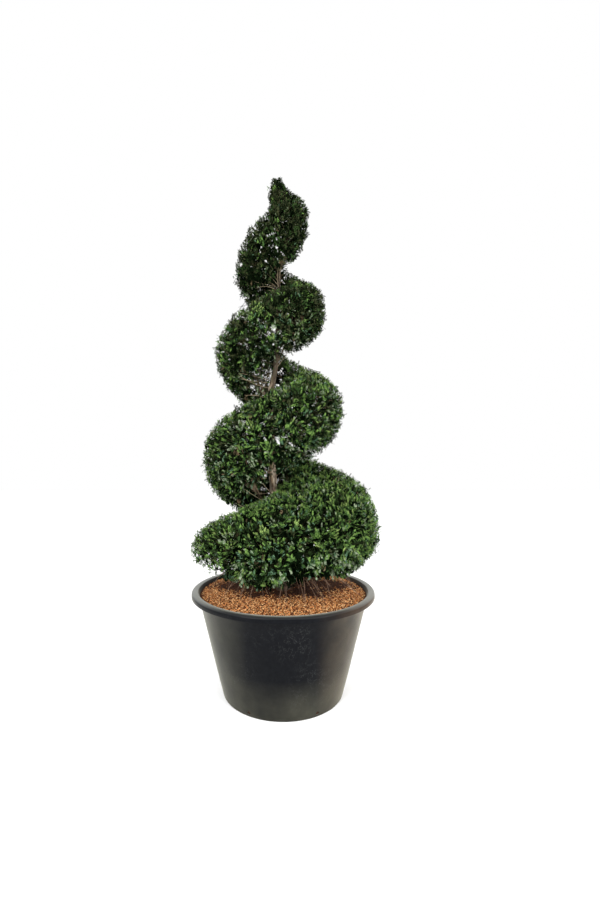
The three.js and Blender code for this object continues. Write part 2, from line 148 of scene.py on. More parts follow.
@dataclass(frozen=True)
class Fade:
    """An amount that grows from nothing at one value to its most at another."""

    begin: float
    full: float
    most: float = 1.0

    def at(self, value: Array) -> Array:
        """Amount at a value."""
        return self.most * ramp(value, self.begin, self.full)


@dataclass(frozen=True)
class Swell:
    """An amount that is largest at one turn count, or once in each turn, and fades away from it."""

    most: float
    turn: float
    width: float
    each_turn: bool = False

    def at(self, turn: Array) -> Array:
        """Finds the amount along the coil.

        Args:
            turn: Turn count.

        Returns:
            The amount there.
        """
        away = turn - self.turn
        if self.each_turn:
            away = (away + 0.5) % 1 - 0.5
        return self.most * near(away, 0, self.width)


@dataclass(frozen=True)
class Coil:
    """The clipped ribbon. A turn count is 0 at the left, 1/4 at the front, 1/2 at the right, 3/4 behind."""

    start: float = -0.22
    end: float = 4.0
    foot: float = 0.734
    rise: float = 0.667
    lift: float = 0.017
    skirt_height: float = 0.722
    edge_share: float = 0.35
    upper_squareness: float = 2.6
    lower_squareness: float = 2.35
    shag_share: float = 0.12
    shag_least: float = 0.020
    shag_most: float = 0.052
    shag_below: float = 0.020
    inner_radius: float = 0.014
    hollow_from: float = -0.72
    hollow_share: float = 0.5
    hollow_least_roof: float = 0.060
    hollow_lip: float = 0.004
    sector_turn: float = 0.25
    first_edge: float = 0.125
    leader_start: float = 3.625
    reach_knots: Knots = ((-0.25, 0.538), (0, 0.586), (0.5, 0.655), (1, 0.466), (1.5, 0.450), (2, 0.412),
                          (2.5, 0.328), (3, 0.287), (3.5, 0.195), (3.75, 0.120), (4, 0.082))
    above_knots: Knots = ((-0.25, 0.300), (0, 0.350), (1, 0.303), (2, 0.290), (3, 0.250), (3.5, 0.250),
                          (3.75, 0.206), (4, 0.064))
    below_knots: Knots = ((-0.25, 0.380), (0, 0.400), (1, 0.334), (2, 0.240), (3, 0.224), (4, 0.250))
    axis_knots: Knots = ((0.600, 0), (0.900, -0.022), (1.300, -0.062), (2.000, -0.052), (2.750, -0.040),
                         (3.450, -0.024))
    nudge: float = 1e-3
    cells: tuple[int, int] = (640, 64)
    heart_share: float = 0.4
    upper_places: Pair = (0.0, 0.3)
    under_places: Pair = (0.0, -0.3)
    start_turns: Pair = (0.20, -0.06)
    start_power: float = 0.7
    start_cut: float = 0.046
    start_top_lift: Fade = Fade(0.0, 0.8, 0.058)
    start_under_lift: float = 0.016
    under_cut: float = 0.008
    under_cuts: tuple[Swell, ...] = (
        Swell(0.046, 2.05, 0.12), Swell(0.006, 1.05, 0.12), Swell(-0.035, 1.70, 0.10))
    deep_places: Pair = (-0.25, -0.65)
    deep_cuts: tuple[Swell, ...] = (Swell(-0.026, 0.50, 0.13, each_turn=True), Swell(-0.022, 0.47, 0.10))
    upper_cut: float = -0.008
    upper_cuts: tuple[Swell, ...] = (
        Swell(-0.012, 0.66, 0.13, each_turn=True), Swell(-0.018, 3.60, 0.15), Swell(0.016, 3.08, 0.12),
        Swell(0.030, 2.82, 0.10), Swell(0.010, 2.10, 0.12))

    def reach(self, turn: Array) -> Array:
        """Distance from the axis to the outer edge."""
        return through(self.reach_knots, turn)

    def mid(self, turn: Array) -> Array:
        """Height of the section's middle."""
        return self.foot + self.rise * turn + self.lift * turn * (self.end - turn)

    def top(self, turn: Array) -> Array:
        """Height of the section's top at the trunk."""
        return self.mid(turn) + through(self.above_knots, turn)

    def low(self, turn: Array) -> Array:
        """Height of the section's lowest point."""
        return np.maximum(self.mid(turn) - through(self.below_knots, turn), self.skirt_height)

    def edge(self, turn: Array) -> Array:
        """Height of the outer edge."""
        low, top = self.low(turn), self.top(turn)
        return np.maximum(self.mid(turn), low + (top - low) * self.edge_share)

    def shag(self, turn: Array) -> Array:
        """Depth of the sprays over the solid part's core."""
        return np.clip(self.reach(turn) * self.shag_share, self.shag_least, self.shag_most)

    def section(self, turn: Array, place: Array, inset: Array) -> tuple[Array, Array]:
        """Finds a point of the clipped outline.

        Args:
            turn: Turn count.
            place: 1 at the trunk on top, 0 at the outer edge and -1 beneath.
            inset: Depth under the outline.

        Returns:
            Distance from the axis, and height.
        """
        edge = self.edge(turn)
        upper = place > 0
        below = edge - self.low(turn) - np.minimum(inset, self.shag_below)
        height = np.where(upper, self.top(turn) - edge - inset, below)
        power = 2 / np.where(upper, self.upper_squareness, self.lower_squareness)
        angle = np.abs(place) * math.pi / 2
        radius = (self.reach(turn) - inset) * np.maximum(np.cos(angle), 0) ** power
        return radius, edge + np.sign(place) * height * np.sin(angle) ** power

    def placed(self, turn: Array, radius: Array, height: Array) -> Array:
        """Places points in space.

        Args:
            turn: Turn count.
            radius: Distance from the coil's axis.
            height: Height above the ground.

        Returns:
            The points.
        """
        azimuth = math.pi * (1 + 2 * turn)
        x = through(self.axis_knots, height) + radius * np.cos(azimuth)
        return np.stack([x, radius * np.sin(azimuth), height], axis=-1)

    def skin(self, turn: Array, place: Array, inset: Array = 0.0) -> Array:
        """Point on the clipped outline, or a depth under it."""
        radius, height = self.section(turn, place, inset)
        return self.placed(turn, radius, height)

    def outward(self, turn: Array, place: Array) -> Array:
        """Finds the way straight out of the clipped outline.

        Args:
            turn: Turn count.
            place: Place round the section.

        Returns:
            Unit vectors.
        """
        step = self.nudge
        along = self.skin(turn + step, place) - self.skin(turn - step, place)
        round_section = self.skin(turn, place + step) - self.skin(turn, place - step)
        straight = unit(np.cross(along, round_section))
        middle = (self.top(turn) + self.low(turn)) / 2
        heart = self.placed(turn, self.heart_share * self.reach(turn), middle)
        side = np.sum(straight * (self.skin(turn, place) - heart), axis=-1, keepdims=True)
        return np.where(side < 0, -straight, straight)

    def hollow(self, turn: float, share: float) -> Pair:
        """Finds a point on the roof of the hollow under the coil.

        Args:
            turn: Turn count.
            share: 0 at the hollow's rim and 1 at the trunk.

        Returns:
            Distance from the axis, and height.
        """
        rim_radius, rim_height = self.section(turn, self.hollow_from, self.shag(turn))
        top = self.top(turn) - self.shag(turn)
        middle = self.edge(turn) + (self.low(turn) - self.edge(turn)) * self.hollow_share
        roof = max(min(middle, top - self.hollow_least_roof), rim_height + self.hollow_lip)
        height = rim_height + (roof - rim_height) * math.sin(share * math.pi / 2)
        return rim_radius + (self.inner_radius - rim_radius) * share, height

    def mass_edges(self) -> Array:
        """Turn counts where one mass of foliage ends and the next begins."""
        inner = np.arange(self.first_edge, self.leader_start + self.sector_turn / 2, self.sector_turn)
        return np.concatenate([[self.start], inner, [self.end]])

    def trim(self, turn: Array, place: Array) -> Array:
        """Finds how deep under the outline the clipped tips end.

        Args:
            turn: Turn count.
            place: Place round the section.

        Returns:
            Depth under the outline, less than zero where the shears left the coil fuller.
        """
        above, beneath = ramp(place, *self.upper_places), ramp(place, *self.under_places)
        start = ramp(turn, *self.start_turns) ** self.start_power
        start_depth = self.start_cut - self.start_top_lift.at(place)
        depth = start * (start_depth - self.start_under_lift * beneath)
        depth = depth + beneath * (self.under_cut + sum(cut.at(turn) for cut in self.under_cuts))
        depth = depth + ramp(place, *self.deep_places) * sum(cut.at(turn) for cut in self.deep_cuts)
        return depth + above * (self.upper_cut + sum(cut.at(turn) for cut in self.upper_cuts))

    def spread(self, density: float, places: Pair, keep: Share,
               rng: Rng) -> tuple[Array, Array]:
        """Deals places evenly over the outline.

        Args:
            density: Places for each square metre.
            places: Lowest and highest place round the section.
            keep: Function of turn and place that gives the share to keep, from 0 to 1.
            rng: Seeded random numbers.

        Returns:
            Turn counts and places round the section.
        """
        turns, rounds = self.cells
        turn_edges = np.linspace(self.start, self.end, turns + 1)
        place_edges = np.linspace(*places, rounds + 1)
        turn_step, place_step = turn_edges[1] - turn_edges[0], place_edges[1] - place_edges[0]
        turn, place = np.meshgrid(turn_edges[:-1], place_edges[:-1], indexing="ij")
        turn, place = turn + turn_step / 2, place + place_step / 2
        nudge = self.nudge
        along = (self.skin(turn + nudge, place) - self.skin(turn - nudge, place)) / (2 * nudge)
        across = (self.skin(turn, place + nudge) - self.skin(turn, place - nudge)) / (2 * nudge)
        area = np.linalg.norm(np.cross(along, across), axis=-1) * keep(turn, place)
        area *= turn_step * place_step
        count = int(round(area.sum() * density))
        first, second = even_pairs(count, rng)
        rows = np.concatenate([[0], np.cumsum(area.sum(axis=1))]) / area.sum()
        picked_turn = np.interp(first, rows, turn_edges)
        row = np.clip(np.searchsorted(turn_edges, picked_turn) - 1, 0, turns - 1)
        columns = np.cumsum(area, axis=1) / np.maximum(area.sum(axis=1, keepdims=True), 1e-12)
        column = np.minimum((columns[row] < second[:, None]).sum(axis=1), rounds - 1)
        picked_place = place_edges[column] + rng.random(count) * place_step
        return picked_turn, picked_place


def even_pairs(count: int, rng: Rng) -> tuple[Array, Array]:
    """Fills a square evenly with points, with a little disorder.

    Args:
        count: Number of points.
        rng: Seeded random numbers.

    Returns:
        The points' two coordinates, from 0 to 1.
    """
    order = np.arange(count)
    disorder = 0.35 / math.sqrt(max(count, 1))
    first_step, second_step = 0.7548776662466927, 0.5698402909980532
    first = (0.5 + order * first_step + rng.normal(0, disorder, count)) % 1
    second = (0.5 + order * second_step + rng.normal(0, disorder, count)) % 1
    return first, second


@dataclass(frozen=True)
class TrunkLine:
    """The trunk's centre line and radius, as in the part."""

    foot: float = 0.5846
    tip: float = 3.330
    x_knots: Knots = (
        (0.5846, 0), (0.720, -0.006), (1.000, -0.042), (1.330, -0.069), (1.680, -0.082), (1.960, -0.084),
        (2.110, -0.050), (2.380, -0.042), (2.660, -0.029), (3.000, -0.028), (3.330, -0.026))
    y_knots: Knots = (
        (0.5846, 0.004), (0.720, 0.006), (1.000, 0.010), (1.330, 0.004), (1.680, -0.004), (1.960, -0.002),
        (2.110, 0.002), (2.380, 0.006), (2.660, 0.002), (3.000, 0), (3.330, 0))
    radius_knots: Knots = (
        (0.5846, 0.041), (0.720, 0.035), (1.000, 0.032), (1.330, 0.028), (1.680, 0.0255), (1.960, 0.0250),
        (2.110, 0.0195), (2.380, 0.014), (2.660, 0.0105), (3.000, 0.007), (3.330, 0.004))

    def point(self, height: Array) -> Array:
        """Point of the centre line at a height."""
        height = np.asarray(height, float)
        return np.stack([through(self.x_knots, height), through(self.y_knots, height), height], axis=-1)

    def radius(self, height: Array) -> Array:
        """Radius at a height, without the root flare."""
        return through(self.radius_knots, height)


@dataclass(frozen=True)
class Tuft:
    """The narrow tuft round the trunk's tip, rounder at its peak than the part's, and leaning left."""

    peak: float = 3.466
    height: float = 0.246
    radius: float = 0.060
    foot_share: float = 0.65
    fullest: float = 0.45
    centre: Pair = (-0.026, 0.0)
    lean: float = -0.020
    roundness: float = 3.0

    def skin(self, azimuth: Array, share: Array, inset: Array = 0.0) -> Array:
        """Finds a point on the tuft's outline.

        Args:
            azimuth: Angle round the tuft.
            share: 0 at its foot and 1 at its peak.
            inset: Depth under the outline.

        Returns:
            The points.
        """
        below = np.maximum(self.fullest - share, 0) / self.fullest
        above = np.minimum(np.maximum(share - self.fullest, 0) / (1 - self.fullest), 1)
        radius = self.radius * (1 - (1 - self.foot_share) * below ** 2)
        radius = radius * np.sqrt(1 - above ** self.roundness) - inset
        radius = np.maximum(radius, 0)
        height = self.peak - self.height * (1 - share) - inset * above
        middle = self.centre[0] + self.lean * above ** 2
        across, deep = radius * np.cos(azimuth), radius * np.sin(azimuth)
        return np.stack([middle + across, self.centre[1] + deep, height], axis=-1)


COIL = Coil()
TRUNK_LINE = TrunkLine()
TUFT = Tuft()
MASS_NODES = [f"foliage_{number:02d}" for number in range(1, 16)] + ["leader_tuft"]
BOUGH_NODES = [f"bough_{number:02d}" for number in range(1, 16)]


@dataclass
class Limbs:
    """Tapering limbs, each on a curve from its start over a bend to its end: one row for each limb."""

    starts: Array
    bends: Array
    ends: Array
    roots: Array
    tips: Array
    mass: Array

    @classmethod
    def joined(cls, groups: list["Limbs"]) -> "Limbs":
        """All the limbs of several groups as one."""
        return cls(*(np.concatenate([getattr(group, name) for group in groups])
                     for name in cls.__dataclass_fields__))

    def at(self, index: Array, share: Array) -> Array:
        """Finds points on some limbs.

        Args:
            index: Numbers of the limbs.
            share: How far along each limb, from 0 to 1.

        Returns:
            The points.
        """
        share = np.asarray(share)[..., None]
        first = (1 - share) ** 2 * self.starts[index]
        middle = 2 * share * (1 - share) * self.bends[index]
        return first + middle + share ** 2 * self.ends[index]

    def tubes(self, rings: int, sides: int) -> tuple[Array, Array]:
        """Makes closed round limbs, with a flat root and a pointed tip.

        Args:
            rings: Rings along each limb.
            sides: Sides round each limb.

        Returns:
            Points, and triangles that index them.
        """
        count = len(self.starts)
        share = np.linspace(0, 1, rings + 1)[:-1]
        every = np.arange(count)[:, None]
        centres = self.at(every, np.broadcast_to(share, (count, rings)))
        slope = 2 * (1 - share)[:, None] * (self.bends - self.starts)[:, None]
        slope = slope + 2 * share[:, None] * (self.ends - self.bends)[:, None]
        along = unit(slope)
        chord = unit(self.ends - self.starts)
        sideways = np.where(np.abs(chord[:, 2:]) < 0.8, [[0.0, 0.0, 1.0]], [[1.0, 0.0, 0.0]])
        across = unit(np.cross(along, sideways[:, None]))
        other = np.cross(along, across)
        radius = self.roots[:, None] + (self.tips - self.roots)[:, None] * share
        turn = 2 * math.pi * np.arange(sides) / sides
        ring = across[:, :, None] * np.cos(turn)[:, None] + other[:, :, None] * np.sin(turn)[:, None]
        points = centres[:, :, None] + ring * radius[:, :, None, None]
        points = np.concatenate([points.reshape(count, -1, 3), self.ends[:, None]], axis=1)
        triangles = tube_triangles(rings, sides)
        offsets = np.arange(count)[:, None, None] * points.shape[1]
        return points.reshape(-1, 3), (triangles[None] + offsets).reshape(-1, 3)


def tube_triangles(rings: int, sides: int) -> Array:
    """Lists the triangles of one closed tube with a pointed tip, which faces outwards.

    Args:
        rings: Rings along the tube, without the tip.
        sides: Sides round it.

    Returns:
        Three point numbers for each triangle.
    """
    faces = []
    for ring in range(rings - 1):
        for side in range(sides):
            here = ring * sides + side
            beside = ring * sides + (side + 1) % sides
            faces += [(here, beside, beside + sides), (here, beside + sides, here + sides)]
    last = (rings - 1) * sides
    for side in range(sides):
        faces.append((last + side, last + (side + 1) % sides, rings * sides))
    for side in range(1, sides - 1):
        faces.append((0, side + 1, side))
    return np.array(faces)


def mesh_piece(name: str, points: Array, triangles: Array, smooth: bool) -> Piece:
    """Makes a joined mesh from arrays.

    Args:
        name: Name of the piece.
        points: Its points.
        triangles: Its triangles, three point numbers each.
        smooth: Whether it is shaded round.

    Returns:
        The new object, at the origin.
    """
    mesh = bpy.data.meshes.new(name)
    mesh.vertices.add(len(points))
    mesh.vertices.foreach_set("co", points.astype(np.float32).ravel())
    mesh.loops.add(triangles.size)
    mesh.loops.foreach_set("vertex_index", triangles.astype(np.int32).ravel())
    mesh.polygons.add(len(triangles))
    mesh.polygons.foreach_set("loop_start", np.arange(0, triangles.size, 3, dtype=np.int32))
    mesh.update(calc_edges=True)
    mesh.polygons.foreach_set("use_smooth", np.full(len(triangles), smooth))
    piece = bpy.data.objects.new(name, mesh)
    bpy.context.scene.collection.objects.link(piece)
    return piece


def place_piece(piece: Piece, material: Material, nodes: list[str]) -> None:
    """Gives a piece its material, body and slot, and the part's nodes that it stands for.

    Args:
        piece: The piece.
        material: Its material.
        nodes: Nodes that it replaces.
    """
    piece.data.materials.clear()
    piece.data.materials.append(material)
    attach(piece, BODY)
    if nodes:
        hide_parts(*nodes)
    triangles = sum(len(face.vertices) - 2 for face in piece.data.polygons)
    LOG.info("%s: %d triangles", piece.name, triangles)


class NodeBench:
    """Adds and joins the nodes of one material or node group."""

    def __init__(self, tree: NodeTree) -> None:
        """Starts work on a node tree."""
        self.tree = tree

    def add(self, kind: str, inputs: dict[str | int, object] | None = None, **settings: object) -> Node:
        """Adds a node.

        Args:
            kind: Name of the node's type.
            inputs: Socket names or numbers, each with a value or a socket to join to it.
            **settings: The node's own settings.

        Returns:
            The new node.
        """
        node = self.tree.nodes.new(kind)
        for name, value in settings.items():
            setattr(node, name, value)
        for name, value in (inputs or {}).items():
            if isinstance(value, Socket):
                self.tree.links.new(value, node.inputs[name])
            else:
                node.inputs[name].default_value = value
        return node

    def mix(self, share: Value, first: Value, second: Value) -> Socket:
        """Mixes two colours.

        Args:
            share: Share of the second colour.
            first: First colour.
            second: Second colour.

        Returns:
            The mixed colour's socket.
        """
        node = self.tree.nodes.new("ShaderNodeMix")
        node.data_type = "RGBA"
        for socket, value in ((node.inputs[0], share), (node.inputs[6], first), (node.inputs[7], second)):
            if isinstance(value, Socket):
                self.tree.links.new(value, socket)
            else:
                socket.default_value = (*value, 1.0) if isinstance(value, tuple) else value
        return node.outputs[2]

    def ramp(self, value: Value, low: Value, high: float, least: float = 0.0, most: float = 1.0) -> Socket:
        """Maps a value from a range to another, and holds it at its ends."""
        return self.add("ShaderNodeMapRange", {"Value": value, "From Min": low, "From Max": high,
                                               "To Min": least, "To Max": most}).outputs[0]

    def times(self, first: Value, second: Value) -> Socket:
        """Product of two numbers."""
        return self.add("ShaderNodeMath", {0: first, 1: second}, operation="MULTIPLY").outputs[0]

    def place(self) -> Socket:
        """Object coordinates."""
        return self.add("ShaderNodeTexCoord").outputs["Object"]

    def apart(self, vector: Socket) -> list[Socket]:
        """A vector's three numbers."""
        return list(self.add("ShaderNodeSeparateXYZ", {0: vector}).outputs)

    def stretched_place(self, stretch: Socket) -> Socket:
        """Scales the height in Object coordinates.

        Args:
            stretch: Scale of the height.

        Returns:
            The scaled coordinates' socket.
        """
        scale = self.add("ShaderNodeCombineXYZ", {"X": 1.0, "Y": 1.0, "Z": stretch}).outputs[0]
        inputs = {0: self.place(), 1: scale}
        return self.add("ShaderNodeVectorMath", inputs, operation="MULTIPLY").outputs[0]

    def noise(self, vector: Socket, scale: Value, detail: float, roughness: float = 0.5) -> Node:
        """A cloudy noise texture's node."""
        return self.add("ShaderNodeTexNoise", {"Vector": vector, "Scale": scale, "Detail": detail,
                                               "Roughness": roughness})

    def group(self, tree: NodeTree, **values: float) -> dict[str, Socket]:
        """Places a node group.

        Args:
            tree: The group.
            **values: Values for its inputs.

        Returns:
            Its output sockets by name.
        """
        node = self.tree.nodes.new("ShaderNodeGroup")
        node.node_tree = tree
        for name, value in values.items():
            node.inputs[name].default_value = value
        return {socket.name: socket for socket in node.outputs}


def new_group(name: str, inputs: dict[str, float],
              outputs: list[str]) -> tuple[NodeBench, dict[str, Socket], dict[str, Socket]]:
    """Starts a shader node group.

    Args:
        name: Name of the group.
        inputs: Number inputs, each with its usual value.
        outputs: Names of its number outputs.

    Returns:
        A bench for its nodes, its input sockets by name, and its output sockets by name.
    """
    tree = bpy.data.node_groups.new(name, "ShaderNodeTree")
    for label, value in inputs.items():
        socket = tree.interface.new_socket(label, in_out="INPUT", socket_type="NodeSocketFloat")
        socket.default_value = value
    for label in outputs:
        tree.interface.new_socket(label, in_out="OUTPUT", socket_type="NodeSocketFloat")
    bench = NodeBench(tree)
    entry = bench.add("NodeGroupInput")
    leave = bench.add("NodeGroupOutput")
    given = {socket.name: socket for socket in entry.outputs}
    return bench, given, {socket.name: socket for socket in leave.inputs}


def mottle_group() -> NodeTree:
    """Makes soft blotches on Object coordinates.

    Returns:
        A group that gives a mask from 0 to 1.
    """
    inputs = {"Scale": 20.0, "Low": 0.35, "High": 0.65, "Stretch": 1.0}
    bench, given, out = new_group("mottle", inputs, ["Mask"])
    texture = bench.noise(bench.stretched_place(given["Stretch"]), given["Scale"], 4.0, 0.6)
    mask = bench.ramp(texture.outputs[0], given["Low"], given["High"])
    bench.tree.links.new(mask, out["Mask"])
    return bench.tree


def scuff_group() -> NodeTree:
    """Makes thin curved scratches and rubs.

    Returns:
        A group that gives a mask from 0 to 1.
    """
    bench, given, out = new_group("scuffs", {"Scale": 9.0, "Width": 0.012, "Patches": 3.0}, ["Mask"])
    place = bench.place()
    warp = bench.noise(place, 2.5, 2.0)
    warped = bench.add("ShaderNodeMix", {0: 0.22, 4: place, 5: warp.outputs[1]}, data_type="VECTOR")
    lines = bench.noise(warped.outputs[1], given["Scale"], 5.0, 0.7)
    centred = bench.add("ShaderNodeMath", {0: lines.outputs[0], 1: 0.5}, operation="SUBTRACT")
    size = bench.add("ShaderNodeMath", {0: centred.outputs[0]}, operation="ABSOLUTE")
    thin = bench.ramp(size.outputs[0], given["Width"], 0.0)
    patches = bench.ramp(bench.noise(place, given["Patches"], 2.0).outputs[0], 0.5, 0.68)
    bench.tree.links.new(bench.times(thin, patches), out["Mask"])
    return bench.tree


def flake_group() -> NodeTree:
    """Makes long upright bark flakes.

    Returns:
        A group that gives a height for bumps, a mask for the cracks, and a tone for each plate.
    """
    bench, given, out = new_group("flakes", {"Scale": 60.0, "Stretch": 0.18}, ["Height", "Crack", "Plate"])
    place = bench.stretched_place(given["Stretch"])
    wobble = bench.noise(place, 30.0, 3.0)
    warped = bench.add("ShaderNodeMix", {0: 0.03, 4: place, 5: wobble.outputs[1]}, data_type="VECTOR")
    cell_inputs = {"Vector": warped.outputs[1], "Scale": given["Scale"]}
    edges = bench.add("ShaderNodeTexVoronoi", cell_inputs, feature="DISTANCE_TO_EDGE").outputs[0]
    cells = bench.add("ShaderNodeTexVoronoi", cell_inputs)
    tone = bench.add("ShaderNodeSeparateColor", {0: cells.outputs["Color"]})
    raised = bench.ramp(edges, 0.0, 0.3)
    height = bench.add("ShaderNodeMath", {0: raised, 1: tone.outputs[0]}, operation="ADD")
    bench.tree.links.new(height.outputs[0], out["Height"])
    bench.tree.links.new(bench.ramp(edges, 0.12, 0.0), out["Crack"])
    bench.tree.links.new(tone.outputs[1], out["Plate"])
    return bench.tree


MOTTLE = mottle_group()
SCUFFS = scuff_group()
FLAKES = flake_group()


def start_material(name: str) -> tuple[NodeBench, Node]:
    """Starts a material.

    Args:
        name: Name of the material.

    Returns:
        A bench for its nodes, and its Principled shader.
    """
    material = bpy.data.materials.new(name)
    material.use_nodes = True
    bench = NodeBench(material.node_tree)
    shader = next(node for node in bench.tree.nodes if node.type == "BSDF_PRINCIPLED")
    return bench, shader


def material_of(name: str) -> Material:
    """The material of that name."""
    return bpy.data.materials[name]


@dataclass(frozen=True)
class MottledFinish:
    """A dull natural finish of two near tones in soft blotches."""

    name: str
    tone: Colour
    other: Colour
    scale: float = 30.0
    roughness: float = 0.6
    specular: float = 0.3

    def material(self) -> Material:
        """Builds the material.

        Returns:
            The material.
        """
        bench, shader = start_material(self.name)
        mask = bench.group(MOTTLE, Scale=self.scale)["Mask"]
        bench.tree.links.new(bench.mix(mask, self.tone, self.other), shader.inputs["Base Color"])
        shader.inputs["Roughness"].default_value = self.roughness
        shader.inputs["Specular IOR Level"].default_value = self.specular
        return material_of(self.name)


@dataclass(frozen=True)
class BarkFinish:
    """Flaky bark: tan and reddish plates, dark in the cracks, painted shade low down, grey with painted
    shade high up.
    """

    name: str
    pale: Colour
    red: Colour
    crack: Colour
    scale: float = 60.0
    stretch: float = 0.18
    bump: float = 0.002
    bump_strength: float = 0.8
    roughness: float = 0.85
    specular: float = 0.2
    aged_share: float = 0.42
    # Grey bark with painted shade, darker higher up.
    grey_and_shade_heights: Pair = (1.55, 2.05)
    grey_and_shade_share: float = 0.0
    grey: Colour = srgb(46, 44, 33)
    # Painted shade, darker towards the trunk's foot.
    painted_shade_heights: Pair = (0.95, 0.80)
    painted_shade_share: float = 0.0
    painted_shade: Colour = srgb(40, 30, 22)

    def material(self) -> Material:
        """Builds the material.

        Returns:
            The material.
        """
        bench, shader = start_material(self.name)
        flakes = bench.group(FLAKES, Scale=self.scale, Stretch=self.stretch)
        blotch = bench.group(MOTTLE, Scale=14.0, Low=0.4, High=0.6, Stretch=0.4)["Mask"]
        plate = bench.mix(flakes["Plate"], self.pale, self.red)
        aged = bench.mix(blotch, plate, tuple(self.aged_share * share for share in self.pale))
        height = bench.apart(bench.place())[2]
        # Painted shade at the trunk's foot, and above it grey bark with painted shade higher up.
        painted_shade = bench.mix(bench.ramp(height, *self.painted_shade_heights, most=self.painted_shade_share), aged, self.painted_shade)
        grey = bench.mix(bench.ramp(height, *self.grey_and_shade_heights, most=self.grey_and_shade_share), painted_shade, self.grey)
        colour = bench.mix(flakes["Crack"], grey, self.crack)
        bump = bench.add("ShaderNodeBump", {"Height": flakes["Height"], "Distance": self.bump,
                                            "Strength": self.bump_strength})
        bench.tree.links.new(colour, shader.inputs["Base Color"])
        bench.tree.links.new(bump.outputs[0], shader.inputs["Normal"])
        shader.inputs["Roughness"].default_value = self.roughness
        shader.inputs["Specular IOR Level"].default_value = self.specular
        return material_of(self.name)


@dataclass(frozen=True)
class TubFinish:
    """Moulded black plastic: dust low down, dust and painted reflection on the rim's top and sides, faint
    scuffs.
    """

    name: str = "tub_plastic"
    plastic: Colour = srgb(4, 5, 8)
    chalky: Colour = srgb(10, 12, 15)
    # Dust colour, also used for the dust and painted reflection on the wall's sides.
    dust: Colour = srgb(128, 126, 108)
    soil: Colour = srgb(116, 92, 70)
    # Grey of the rim's top: dust and painted reflection.
    rim: Colour = srgb(138, 140, 138)
    scuff: Colour = srgb(104, 106, 104)
    low_dust: float = 0.28
    low_dust_top: float = 0.25
    # Dust and painted reflection: lighter towards the wall's left and right sides.
    side_dust: float = 0.34
    side_dust_from: Pair = (0.20, 0.50)
    wall_top: Pair = (0.605, 0.575)
    side_soil: float = 0.40
    side_soil_from: Pair = (0.18, 0.50)
    # Dust and painted reflection on the rim's top, less at its front.
    rim_dust: float = 0.62
    rim_dust_front: float = 0.10
    rim_facing: Pair = (0.25, 0.95)
    rim_front: Pair = (-0.50, -0.12)
    scuff_share: float = 0.26
    dusty_from: Pair = (0.0, 0.4)
    roughness: Pair = (0.40, 0.62)
    specular: float = 0.05
    sheen: float = 0.56
    sheen_roughness: float = 0.28
    sheen_tint: Colour = srgb(215, 215, 196)

    def material(self) -> Material:
        """Builds the material.

        Returns:
            The material.
        """
        bench, shader = start_material(self.name)
        across, deep, height = bench.apart(bench.place())
        facing_up = bench.apart(bench.add("ShaderNodeNewGeometry").outputs["Normal"])[2]
        film = bench.group(MOTTLE, Scale=3.4, Low=0.2, High=0.85)["Mask"]
        fine = bench.group(MOTTLE, Scale=46.0, High=0.75)["Mask"]
        wall = bench.mix(fine, self.plastic, self.chalky)
        low_down = bench.times(bench.ramp(height, self.low_dust_top, 0.0, most=self.low_dust), film)
        dusty = bench.mix(low_down, wall, self.dust)
        aside = bench.add("ShaderNodeMath", {0: across}, operation="ABSOLUTE").outputs[0]
        # Painted reflection with dust on the wall's left and right sides.
        side_dust = bench.times(bench.ramp(aside, *self.side_dust_from, most=self.side_dust), film)
        dust_and_reflection_sides = bench.mix(bench.times(side_dust, bench.ramp(height, *self.wall_top)), dusty, self.dust)
        side_soil = bench.times(bench.ramp(across, *self.side_soil_from, most=self.side_soil), film)
        soiled = bench.mix(side_soil, dust_and_reflection_sides, self.soil)
        # Dust and painted reflection on the rim's top, fading towards its front.
        front = bench.ramp(deep, *self.rim_front, least=self.rim_dust_front)
        lying = bench.times(bench.ramp(facing_up, *self.rim_facing, most=self.rim_dust), front)
        rimmed = bench.mix(lying, soiled, self.rim)
        marks = bench.group(SCUFFS, Scale=16.0, Width=0.007, Patches=3.2)["Mask"]
        colour = bench.mix(bench.times(marks, self.scuff_share), rimmed, self.scuff)
        bench.tree.links.new(colour, shader.inputs["Base Color"])
        roughness = bench.ramp(low_down, *self.dusty_from, *self.roughness)
        bench.tree.links.new(roughness, shader.inputs["Roughness"])
        grain = bench.group(MOTTLE, Scale=160.0, Low=0.2, High=0.8)["Mask"]
        bump = bench.add("ShaderNodeBump", {"Height": grain, "Distance": 0.0006, "Strength": 0.35})
        bench.tree.links.new(bump.outputs[0], shader.inputs["Normal"])
        shader.inputs["Specular IOR Level"].default_value = self.specular
        shader.inputs["Sheen Weight"].default_value = self.sheen
        shader.inputs["Sheen Roughness"].default_value = self.sheen_roughness
        shader.inputs["Sheen Tint"].default_value = (*self.sheen_tint, 1.0)
        return material_of(self.name)


class Tint(Enum):
    """Colours of needle sprays, dealt out by spray."""

    BRIGHT = 0
    FRESH = 1
    DEEP = 2
    # Near-black: painted shade, for sprays in the dark inside and under the coil.
    SHADE = 3
    OLIVE = 4
    BLUE = 5
    SAGE = 6
    DRY = 7


